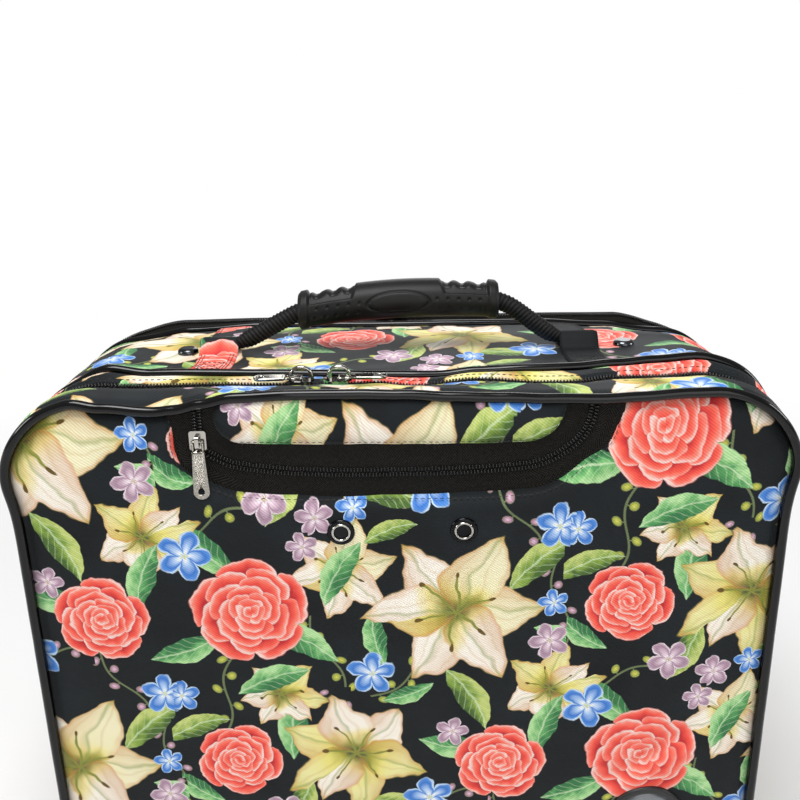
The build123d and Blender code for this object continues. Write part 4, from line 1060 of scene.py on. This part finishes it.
FORWARDS = Vector((0, -1, 0))
TAPE_HALF = 17
mouth_steps = [k for k, (place, _, _) in enumerate(mouth_trace) if place.y < 351.5]
pocket_tape_bm = lay_grid(
    len(mouth_steps) - 1, 16,
    lambda i, j: mouth_spot(mouth_steps[i], TAPE_HALF * (j / 8 - 1),
                            -103.9 + 0.3 * rough(i * 1.5, j * 2, 0, 16, 3)),
    cloth=lambda i, j: (mouth_trace[mouth_steps[i]][2], TAPE_HALF * (j / 8 - 1)))
finish_piece(pocket_tape_bm, "pocket_tape", tape_finish,
             replaces=["pocket_zip_tape"], wall=0.9)
coil_row("pocket_coil", [(mouth_spot(k, 0, FRONT_SEAM), FORWARDS) for k in mouth_steps],
         ["pocket_zip_coil"])

# %% [markdown]
# Stitches are real thread: short rounded beads along a line, 2.6 mm long with a small gap. They
# lie beside the zips, round the pocket's mouth and along the bands over the strap's ends.

# %% Stitches
thread_finish, tree, shade = material("black_polyester_thread", Roughness=0.55)
thread_tone = add(tree, "TexNoise", {"Vector": add(tree, "TexCoord", out="Object"), "Scale": 700.0})
feed(shade, {"Base Color": ramp(thread_tone, ((0.3, "#0a0a0a"), (0.8, "#1f1f1e")))})


def stitch_row(bm, line, pitch=3.6, half=1.3, thick=0.3):
    """Add a row of stitches along a line of (place, up) pairs in millimetres."""
    add_beads(bm, [stretched(spot + up * 0.1, ahead * half, across * thick, up * thick)
                   for spot, ahead, across, up in paces(line, pitch)])


stitch_bm = bmesh.new()
for y, skin in ((-76.4, front_wall_skin), (-61.8, zip_wall_skin)):
    stitch_row(stitch_bm, [(round_case(k, skin(k, y), y), case_place(k)[1]) for k in case_line(92)])
for offset, skin in ((SEWN + 2.2, front_skin), (-SEWN - 2.2, flap_skin)):
    line = []
    for k in mouth_steps:
        place, out, _ = mouth_trace[k]
        spot = place + out * offset
        if spot.y < 350 and not (offset < 0 and place.x < -88):
            line.append((settle(spot.x, skin(spot.x, spot.y), spot.y), FORWARDS))
    stitch_row(stitch_bm, line, thick=0.24)
finish_piece(stitch_bm, "seam_stitches", thread_finish)

# %% [markdown]
# Two bands of cloth run from the front piping to the rear one over the ends of the carry strap,
# and each has a tunnel for it. The left one is cut from the printed cloth and the right one
# shows the plain ground. A band is a strip whose height follows the wall under it and rises
# smoothly over the tunnel.

# %% Strap bands
plain_cloth, tree, shade = material("black_polyester_twill", Roughness=0.65, Specular_IOR_Level=0.14)
cloth = add(tree, "Attribute", out="Vector", attribute_name="cloth")
ribs = add(tree, "TexWave", {"Vector": cloth, "Scale": 0.31, "Distortion": 0.6}, out="Fac",
           bands_direction="DIAGONAL")
# The colour is painted shade on the ribs, darker in their grooves and lighter on their crests, mixed with
# a random tone of the cloth.
rib_shade_and_tone = ribs * 0.3 + blotches(cloth, 0.05)
feed(shade, {"Base Color": ramp(rib_shade_and_tone, ((0.3, "#0e1011"), (0.9, "#1a1d1f"))),
             "Normal": add(tree, "Bump", {"Height": ribs, "Strength": 0.35, "Distance": 0.0003})})

HANDLE_Y, ROOT_Z = 8, 357.8
BAND_NEAR, BAND_FAR = 104, 129      # a band's two sides, from the case's middle
BAND_FRONT, BAND_LONG = -45.5, 123
top_steps = {round(place.x): k for k, (place, _, _) in enumerate(case_trace) if place.y > 355}


def top_height(x, y):
    """The height of the rear wall's cloth at a place on the top."""
    step = min(top_steps.items(), key=lambda item: abs(item[0] - x))[1]
    return settle(x, y, CASE_TOP - rear_skin(step, y)).z


def band_height(x, y):
    """The top face of a strap band."""
    base = top_height(x, y) + 1.5
    hump = ROOT_Z + 6.0 - 0.10 * (y - HANDLE_Y) ** 2
    return (base + hump + sqrt((base - hump) ** 2 + 4)) / 2


def band_sides(side):
    """The lower and the higher x of the band on a side of the case."""
    return sorted((side * BAND_NEAR, side * BAND_FAR))


def strap_band(name, side, finish):
    """The band over one end of the carry strap."""
    low, high = band_sides(side)

    def flat(i, j):
        return low + (high - low) * i / 10, BAND_FRONT + BAND_LONG * j / 60

    def lay(i, j):
        x, y = flat(i, j)
        edge = exp(-min(x - low, high - x) / 0.8)
        return Vector((x, y, band_height(x, y) - 0.9 * edge))

    return finish_piece(lay_grid(10, 60, lay, cloth=flat), name, finish,
                        replaces=["strap_bands"], wall=1.2)


print_cloth(strap_band("left_strap_band", -1, cloth_finish), (26, 260))
strap_band("right_strap_band", 1, plain_cloth)

# %% [markdown]
# The carry strap is tubular webbing about a filling, ribbed by its weave. It leaves the grip,
# comes down at an angle, and goes under the bands, where it is pinched thinner. Its line is a
# smooth spline. The ribs are modelled, because they show in the outline: they slant round it.

# %% Carry strap
WEB_PITCH = 2.6
webbing_finish, tree, shade = material("ribbed_nylon_webbing", Roughness=0.6, Specular_IOR_Level=0.2)
run, across, _ = split(add(tree, "Attribute", out="Vector", attribute_name="cloth"))
ribs = (across * (6 * pi) + run * (2 * pi / WEB_PITCH)).math("SINE")
fuzz = add(tree, "TexNoise", {"Vector": add(tree, "TexCoord", out="Object"), "Scale": 1500.0})
# The colour is painted shade and highlight on the ribs: lighter on the crests of the modelled ribs and
# darker in their grooves.
feed(shade, {"Base Color": ramp(ribs * 0.5 + 0.5, ((0.0, "#020202"), (0.6, "#0c0c0c"), (1.0, "#1e1e1d"))),
             "Normal": add(tree, "Bump", {"Height": fuzz, "Strength": 0.3, "Distance": 0.0002})})

GRIP_HALF, GRIP_Z, GRIP_ARCH = 64, 387.5, 4.5
LEAN = 0.04                 # the grip's slope to the right, as in the photo
STRAP_STEPS, STRAP_ROUND = 200, 24
STRAP_ROUTE = ((127, 357.6), (118, 357.8), (108, 358.6), (100, 361.2), (88, 368.4), (74, 377.6),
               (66, 381.6), (58, 384.0), (50, 384.6))


def spline_line(points, steps):
    """Even places along a smooth curve through the middle of some points, from Blender's spline."""
    curve = bpy.data.curves.new("route", "CURVE")
    curve.dimensions = "3D"
    spline = curve.splines.new("NURBS")
    spline.points.add(len(points) - 1)
    for point, place in zip(spline.points, points):
        point.co = (*place, 1)
    spline.order_u = 3
    spline.use_endpoint_u = True
    spline.resolution_u = 24
    holder = bpy.data.objects.new("route", curve)
    mesh = bpy.data.meshes.new_from_object(holder)
    dense = [v.co.copy() for v in mesh.vertices]
    bpy.data.meshes.remove(mesh)
    bpy.data.objects.remove(holder)
    bpy.data.curves.remove(curve)
    far = reach_of(dense)
    return [dense[k].lerp(dense[k + 1], min(part, 1))
            for k, part, _ in even_steps(far, steps, steps + 1)], far[-1]


strap_bm = bmesh.new()
for side in (-1, 1):
    line, long = spline_line([(side * x, HANDLE_Y, z + LEAN * side * x * smooth(98, 70, x))
                              for x, z in STRAP_ROUTE], STRAP_STEPS)

    def tube(i, j):
        spot = line[i]
        ahead = (line[min(i + 1, STRAP_STEPS)] - line[max(i - 1, 0)]).normalized()
        turn = 2 * pi * j / STRAP_ROUND
        flat = smooth(96, 106, abs(spot.x))
        rib = 0.32 * sin(2 * pi * (long * i / STRAP_STEPS) / WEB_PITCH + 3 * turn * side)
        radius = 5.6 - 1.7 * flat + rib * (1 - 0.4 * flat)
        across = Vector((0, 1, 0))
        up = ahead.cross(across).normalized()
        return spot + (across * cos(turn) + up * sin(turn)) * radius

    half_bm = lay_grid(STRAP_STEPS, STRAP_ROUND, tube,
                       cloth=lambda i, j: (long * i / STRAP_STEPS, j / STRAP_ROUND * side))
    cap_tube(half_bm)
    pour(half_bm, strap_bm)
finish_piece(strap_bm, "ribbed_carry_strap", webbing_finish, body="carry_handle",
             replaces=["carry_strap"])

# %% [markdown]
# The grip is moulded thermoplastic rubber round the strap. It arches a little, has a collar at
# each end, a smooth middle with a plain oval, and towards each end a lowered top with three
# notches and rows of small dimples. A tube of fine faces is laid along its arch, and each of
# these is a simple change of its radius, which gives the soft edges of a moulding.

# %% Rubber grip
rubber_finish, tree, shade = material("black_thermoplastic_rubber", Roughness=0.42,
                                      Specular_IOR_Level=0.22)
rubber_place = add(tree, "TexCoord", out="Object")
pores = add(tree, "TexNoise", {"Vector": rubber_place, "Scale": 1800.0, "Detail": 2.0})
smears = add(tree, "TexNoise", {"Vector": rubber_place, "Scale": 45.0, "Detail": 3.0})
feed(shade, {"Base Color": ramp(smears, ((0.3, "#0f0f0e"), (0.75, "#1b1b1a"))),
             "Roughness": add(tree, "MapRange", {"Value": smears, "To Min": 0.36, "To Max": 0.55}),
             "Normal": add(tree, "Bump", {"Height": pores, "Strength": 0.15, "Distance": 0.0002})})
GRIP_LONG, GRIP_ROUND = 256, 112
GRIP_DEEP, GRIP_HIGH = 13.4, 12.4
COLLAR = 58                 # where the collar at each end begins, from the grip's middle
NOTCHES = (31.5, 41, 51.5)
DIMPLES = (24.6, 31.4, 38.2, 45.0, 51.8)


def grip_skin(i, j):
    """A place on the grip: i runs along it, j round it from the front face upwards."""
    x = (2 * i / GRIP_LONG - 1) * GRIP_HALF
    turn = 2 * pi * j / GRIP_ROUND
    out, top = abs(x), sin(turn)
    y, z = -cos(turn) * GRIP_DEEP, top * GRIP_HIGH
    change = 1.2 * smooth(COLLAR - 1.5, COLLAR + 0.5, out) - 1.6 * smooth(61.5, GRIP_HALF, out) ** 2
    step_line = 26 + 4.5 * (1 - top)
    change -= (1.7 * smooth(step_line, step_line + 2, out) * smooth(COLLAR, COLLAR - 1.5, out)
               * smooth(0.42, 0.5, top))
    for notch in NOTCHES:
        change += (0.5 * bump(out - notch - 4.4, 2.0) * smooth(57, 55, out)
                   - 1.7 * bump(out - notch, 2.0)) * smooth(0.72, 0.9, top)
    if cos(turn) > 0.2:
        for row, shift in ((2.2, 0.0), (-4.2, 1.04)):
            for dimple in DIMPLES:
                change -= 1.1 * bump(hypot(out - dimple - shift, z - row), 0.8)
        oval = hypot(x / 19.5, (z - 0.6) / 6.6)
        change += 0.35 * smooth(1.0, 0.8, oval) - 1.0 * bump(oval - 1, 0.055)
    arch = GRIP_Z - GRIP_ARCH * (x / GRIP_HALF) ** 2 + LEAN * x
    scale = 1 + change / 13 - 0.1 * (x / GRIP_HALF) ** 2
    return Vector((x, HANDLE_Y + y * scale, arch + z * scale))


grip_bm = lay_grid(GRIP_LONG, GRIP_ROUND, grip_skin)
cap_tube(grip_bm, 0.001)
finish_piece(grip_bm, "moulded_rubber_grip", rubber_finish, body="carry_handle",
             replaces=["carry_grip"])

# %% [markdown]
# The back of the case isn't in the photo. It gets plain cloth of the ground's colour, drawn tight
# over its board, with a soft edge beside the piping. The strip below the rear zip is cloth too.
# A ring grid suits it: its rows run in from the outline to the middle, where they meet.

# %% Back cloth
BACK_ROWS, BACK_FACE = 36, 92.7


def back_skin(i, j):
    """A place on the back's cloth: i runs round the outline, j from its edge to its middle."""
    place, out, _ = case_trace[i % len(case_trace)]
    rim = place - out * 2.6
    spot = rim.lerp(Vector((0, CASE_MIDDLE)), (j / BACK_ROWS) ** 1.4)
    near = (spot - rim).length
    puff = 3.0 * (1 - exp(-near / 3.5))
    dent = 0.25 * rough(spot.x, 0, spot.y, 55, 4) * smooth(2, 20, near)
    return settle(spot.x, BACK_FACE + puff + dent, spot.y)


bm = lay_grid(len(case_trace), BACK_ROWS, back_skin, closed=True,
              cloth=lambda i, j: back_skin(i, j).xz)
finish_piece(bm, "back_cloth", plain_cloth, replaces=["back_panel"])

strip_bm = bmesh.new()
places = [place for place, _, _ in case_trace]
low_run = sorted((k for k, place in enumerate(places) if place.y < 50 and abs(place.x) <= 178),
                 key=lambda k: places[k].x)
for run in ([k for k, place in enumerate(places) if place.x < -178 and 58 <= place.y < 200],
            [k for k, place in enumerate(places) if place.x > 178 and 58 <= place.y < 200],
            low_run):
    far = [case_trace[k][2] for k in run]
    pour(lay_grid(len(run) - 1, 6,
                  lambda i, j: round_case(run[i], 4.2 - 1.4 * sin(pi * j / 6), 82.3 + 10.2 * j / 6),
                  cloth=lambda i, j: (far[i], 1.8 * j)), strip_bm)
finish_piece(strip_bm, "rear_pocket_strip", plain_cloth,
             replaces=["rear_pocket_gusset"], wall=1.2)

# %% [markdown]
# The stiffening board behind the main compartment is cut to the settled outline, so that it
# stays inside the cloth at the shoulders, which hang lower than a plain box's would.

# %% Stiffening board
BOARD_Y, BOARD_SIDE, BOARD_END = 77, 6.5, 9     # its depth, and how far inside the cloth it lies


def board_face(i, j):
    """A place on the board: i runs round the outline, j from its edge to its middle."""
    place, inwards = case_trace[i % len(case_trace)][0], 1 - j / 12
    return settle(place.x * (1 - BOARD_SIDE / CASE_HALF) * inwards, BOARD_Y, CASE_MIDDLE
                  + (place.y - CASE_MIDDLE) * (1 - BOARD_END / (CASE_TOP - CASE_MIDDLE)) * inwards)


stiffener = finish_piece(lay_grid(len(case_trace), 12, board_face, closed=True),
                         "stiffening_board", plain_cloth, replaces=["back_board"], wall=2.4)

# %% [markdown]
# Each band over the strap's end is sewn down with two rows of stitches near each side, and a
# box with a cross in front of the strap, where it is pulled hardest.

# %% Band stitches
band_bm = bmesh.new()


def band_line(start, end, parts):
    """A straight line over a band, that follows its height."""
    return [(Vector((x, y, band_height(x, y) + 0.05)), Vector((0, 0, 1)))
            for x, y in (Vector(start).lerp(Vector(end), t / parts) for t in range(parts + 1))]


for side in (-1, 1):
    low, high = band_sides(side)
    for x in (low + 2.2, low + 4.2, high - 4.2, high - 2.2):
        for start, end in ((-43, -4), (20, 75)):
            stitch_row(band_bm, band_line((x, start), (x, end), 16), 3.0, 1.1, 0.28)
    corners = ((low + 6, -40), (high - 6, -40), (high - 6, -20), (low + 6, -20))
    for a, b in ((0, 1), (1, 2), (2, 3), (3, 0), (0, 2), (1, 3)):
        stitch_row(band_bm, band_line(corners[a], corners[b], 8), 3.0, 1.1, 0.28)
finish_piece(band_bm, "band_stitches", thread_finish)

# %% [markdown]
# The rigid parts keep their CAD shapes and get real finishes. One function makes a finish: two
# tones of a colour that noise mixes, so nothing is flat, and a fine bump for the surface of
# a casting or a moulding. Metals are wholly metallic, with a roughness for how polished they are.

# %% Rigid finishes
def surface(name, dark, light, blotch=60.0, grain=1500.0, dents=0.1, **shader):
    """A finish whose colour wanders between two tones, with a fine grain in its surface."""
    finish, tree, shade = material(name, **shader)
    place = add(tree, "TexCoord", out="Object")
    tone = add(tree, "TexNoise", {"Vector": place, "Scale": blotch, "Detail": 3.0})
    grit = add(tree, "TexNoise", {"Vector": place, "Scale": grain, "Detail": 2.0})
    feed(shade, {"Base Color": ramp(tone, ((0.3, dark), (0.7, light))),
                 "Normal": add(tree, "Bump", {"Height": grit, "Strength": dents,
                                              "Distance": 0.0002})})
    return finish


def dress(finish, *nodes):
    """Give CAD nodes a finish, through their objects' own slots."""
    for node in nodes:
        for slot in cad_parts[node].material_slots:
            slot.link = "OBJECT"
            slot.material = finish


nickel = surface("nickel_plating", "#9e9b95", "#c2bfb8", dents=0.04, Metallic=1.0, Roughness=0.12)
gunmetal = surface("gunmetal_plating", "#4a4c4f", "#66686b", dents=0.05, Metallic=1.0,
                   Roughness=0.2)
black_nickel = surface("black_nickel", "#1c1c1e", "#2b2b2d", dents=0.05, Metallic=1.0,
                       Roughness=0.18)
moulding = surface("black_abs_moulding", "#111112", "#1b1b1c", dents=0.3, Roughness=0.42)
badge_face = surface("grey_lacquer", "#606468", "#74787c", 90.0, 900.0, 0.05, Roughness=0.25,
                     Coat_Weight=0.6, Coat_Roughness=0.05)
taffeta = surface("black_nylon_taffeta", "#161617", "#212123", dents=0.4, Roughness=0.6)
fibreboard = surface("grey_fibreboard", "#57514a", "#6c6459", 120.0, 900.0, 0.4, Roughness=0.85)
anodised = surface("satin_anodised_aluminium", "#9a9da0", "#b4b7b9", 40.0, 2500.0, 0.08,
                   Metallic=1.0, Roughness=0.3)
zinc = surface("zinc_plated_steel", "#8f9193", "#b0b2b4", 200.0, 1200.0, 0.1, Metallic=1.0,
               Roughness=0.32)
tread = surface("black_polyurethane_tread", "#101010", "#1d1d1c", 80.0, 900.0, 0.35, Roughness=0.5)
wheel_grey = surface("grey_nylon_wheel_core", "#63666a", "#7a7d81", 70.0, 1200.0, 0.2,
                     Roughness=0.45)
foot_rubber = surface("black_foot_rubber", "#131313", "#1f1f1e", 80.0, 1200.0, 0.4, Roughness=0.6)

dress(nickel, "pocket_slider", "main_slider_left", "main_slider_right", "rear_slider_left",
      "rear_slider_right")
dress(gunmetal, "handle_studs")
dress(moulding, "badge_rim", "trolley_cup", "trolley_base", "trolley_grip", "release_button",
      "wheel_housing_left", "wheel_housing_right")
dress(badge_face, "badge_dome")
dress(taffeta, "pocket_lining", "laptop_sleeve")
dress(fibreboard, "base_board")
stiffener.data.materials[0] = fibreboard
dress(anodised, "outer_tubes", "middle_tubes", "inner_tubes")
dress(zinc, "screws", "wheel_axles", "wheel_bearings_left", "wheel_bearings_right",
      "release_rods")
dress(tread, "wheel_tyre_left", "wheel_tyre_right")
dress(wheel_grey, "wheel_core_left", "wheel_core_right")
dress(foot_rubber, "front_feet")

# %% [markdown]
# The zips' pullers are small castings: a flat blade that widens to a round end with a hole, and
# a window at the other end for the slider's loop. The pocket's puller has knurled faces and
# polished rims, and the others are plain nickel. The knurling is too fine to model, so crossed
# waves in the bump do it, and only where the blade's face is, which the place along it tells.

# %% Pullers
knurled, tree, shade = material("knurled_nickel", Metallic=1.0, Roughness=0.16)
blade = add(tree, "Attribute", out="Vector", attribute_name="cloth")
run, across, face = split(blade)
knurl = ((run + across) * (2 * pi / 1.7)).math("SINE")
knurl = knurl * ((run - across) * (2 * pi / 1.7)).math("SINE") * face
scuffs = add(tree, "TexNoise", {"Vector": blade, "Scale": 0.8, "Detail": 3.0})
feed(shade, {"Base Color": ramp(scuffs, ((0.3, "#8f8b83"), (0.7, "#b5b1a8"))),
             "Normal": add(tree, "Bump", {"Height": knurl, "Strength": 0.8, "Distance": 0.0005})})


def puller(node, origin, ahead, up, root, long, end_half, finish):
    """A puller's blade from its window to its round end, with the window's ears and bar."""
    root_half, thick, rows = 3.5, 1.6, 12
    origin, ahead, up = Vector(origin), Vector(ahead), Vector(up)
    across = up.cross(ahead)
    hole = Vector((long - end_half, 0))
    turn = end_half - 0.3
    rim, _ = trace([(root, 0), (root, root_half), (long, end_half), (long, -end_half),
                    (root, -root_half)], [0, 0.8, turn, turn, 0.8], True, 0.5)

    def section(i, j):
        """A flat place on the blade, the two edges that it lies between, and which face it is on."""
        edge = rim[i % len(rim)][0]
        start = hole + (edge - hole).normalized() * end_half / 3
        t = j % (2 * rows) / rows
        return start.lerp(edge, (t if t <= 1 else 2 - t) ** 0.8), start, edge, 0.5 if t <= 1 else -0.5

    def where(i, j):
        flat, start, edge, face = section(i, j)
        near = min((flat - start).length, (edge - flat).length)
        bevel = 0.45 * exp(-near / 0.3)
        high = face * (thick - 2 * bevel + 0.28 * bump(near - 0.7, 0.3))
        return origin + ahead * flat.x + across * flat.y + up * high

    bm = lay_grid(len(rim), 2 * rows, where, closed=True, cloth=lambda i, j: section(i, j)[0])
    weave = bm.loops.layers.float_vector["cloth"]
    for piece in bm.faces:
        for corner in piece.loops:
            x, y, _ = corner[weave]
            face = smooth(root + 2, root + 3.5, x) * smooth(end_half * 1.6, end_half * 2.1, long - x)
            corner[weave] = (x, y, face * smooth(root_half - 0.6, root_half - 1.1, abs(y)))
    rods = bmesh.new()
    ear = root_half - 0.75
    for start, end in (((root + 0.8, -ear), (0, -ear)), ((root + 0.8, ear), (0, ear)),
                       ((0, -ear), (0, ear))):
        p, q = (origin + ahead * x + across * y for x, y in (start, end))
        aim = (q - p).to_track_quat("Z", "Y").to_matrix().to_4x4()
        bmesh.ops.create_cone(rods, cap_ends=True, segments=16, radius1=0.72, radius2=0.72,
                              depth=(q - p).length + 0.5,
                              matrix=Matrix.Translation((p + q) / 2) @ aim)
    pour(rods, bm)
    finish_piece(bm, node + "_blade", finish, body=node + "_body", replaces=[node])


# Where each zip's two sliders rest, from the left, and which way their pullers lie.
MAIN_SLIDERS, REAR_SLIDERS, WAYS = (-57, -35), (-11, 1), (-1, 1)
puller("pocket_puller", (MOUTH_LEFT, -109.5, 338.3), (0, 0, -1), (0, -1, 0), 5.4, 35, 4.9, knurled)
for side, way, main_x, rear_x in zip(("left", "right"), WAYS, MAIN_SLIDERS, REAR_SLIDERS):
    puller(f"main_puller_{side}", (main_x, MAIN_ZIP, 361), (way, 0, 0), (0, 0, 1), 8.8, 28, 4.7,
           nickel)
    puller(f"rear_puller_{side}", (rear_x, REAR_ZIP, 357.5), (way, 0, 0), (0, 0, 1), 5.4, 24, 4.2,
           nickel)

# %% [markdown]
# Round things are turned on a lathe: a profile of radius and height is spun about an axis. The
# two ring rivets under the pocket's zip have a dark flange, a bright eyelet and a dark middle.
# The main zip's sliders carry tall loops of round wire, which show above the zip.

# %% Rivets and slider loops
def turned(bm, centre, axis, profile, parts=48):
    """Add the surface of a profile of (radius, height) pairs spun about an axis."""
    axis = Vector(axis)
    first = axis.orthogonal().normalized()
    second = axis.cross(first)

    def where(i, j):
        radius, high = profile[j]
        turn = 2 * pi * i / parts
        return Vector(centre) + axis * high + (first * cos(turn) + second * sin(turn)) * radius

    pour(lay_grid(parts, len(profile) - 1, where, closed=True), bm)


flange_bm, eyelet_bm = bmesh.new(), bmesh.new()
for x in (-35, 35):
    seat = settle(x, front_skin(x, 281), 281) + Vector((0, 0.6, 0))
    turned(flange_bm, seat, FORWARDS, ((8, 0), (7.9, 1.0), (7.3, 1.7), (6.3, 1.9), (5.6, 1.5),
                                       (5.4, 0.8)))
    turned(flange_bm, seat, FORWARDS, ((4.4, 0.9), (4.0, 1.0), (2.5, 1.2), (0.001, 1.25)))
    turned(eyelet_bm, seat, FORWARDS, ((5.7, 1.3), (5.4, 2.0), (4.8, 2.3), (4.3, 2.0), (4.1, 1.0)))
finish_piece(flange_bm, "rivet_flanges", black_nickel, replaces=["pocket_rivets"])
finish_piece(eyelet_bm, "rivet_eyelets", nickel)


def slider_loop(node, place, half, high):
    """The loop of wire over a zip's slider, that its puller hangs on."""
    def wire(i, j):
        turn, around = pi * i / 32, 2 * pi * j / 12
        out = Vector((-cos(turn), 0, sin(turn) ** 0.6))
        spot = Vector(place) + Vector((out.x * half, 0, out.z * high))
        return spot + (out.normalized() * cos(around) + Vector((0, 1.3, 0)) * sin(around)) * 1.15

    bm = lay_grid(32, 12, wire)
    cap_tube(bm)
    finish_piece(bm, node + "_loop", nickel, body=node + "_body")


for zip_name, xs, y, z, half, high in (("main", MAIN_SLIDERS, MAIN_ZIP, 358.6, 6.2, 8.6),
                                       ("rear", REAR_SLIDERS, REAR_ZIP, 355.2, 4.2, 6.0)):
    for side, x in zip(("left", "right"), xs):
        slider_loop(f"{zip_name}_slider_{side}", (x, y, z), half, high)

# %% [markdown]
# The trolley's button rests on a small coil spring, which squashes as the button goes down.
# It is drawn as a wire along a helix of one fixed height.

# %% Button spring
SPRING_LOW, SPRING_HIGH, SPRING_Y = 334.25, 337.95, 104
SPRING_RADIUS, SPRING_WIRE, SPRING_TURNS = 2.25, 0.25, 3.5


def helix(i, j):
    """A place on the spring's wire: i runs along it, j round it."""
    turn, around = 2 * pi * SPRING_TURNS * i / 120, 2 * pi * j / 8
    out = Vector((cos(turn), sin(turn), 0))
    high = SPRING_LOW + (SPRING_HIGH - SPRING_LOW) * i / 120 + SPRING_WIRE * sin(around)
    return Vector((0, SPRING_Y, high)) + out * (SPRING_RADIUS + SPRING_WIRE * cos(around))


bm = lay_grid(120, 8, helix)
cap_tube(bm, 0.001)
spring = finish_piece(bm, "coil_spring", zinc, body="trolley_top",
                      replaces=["button_spring"])
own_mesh(spring)
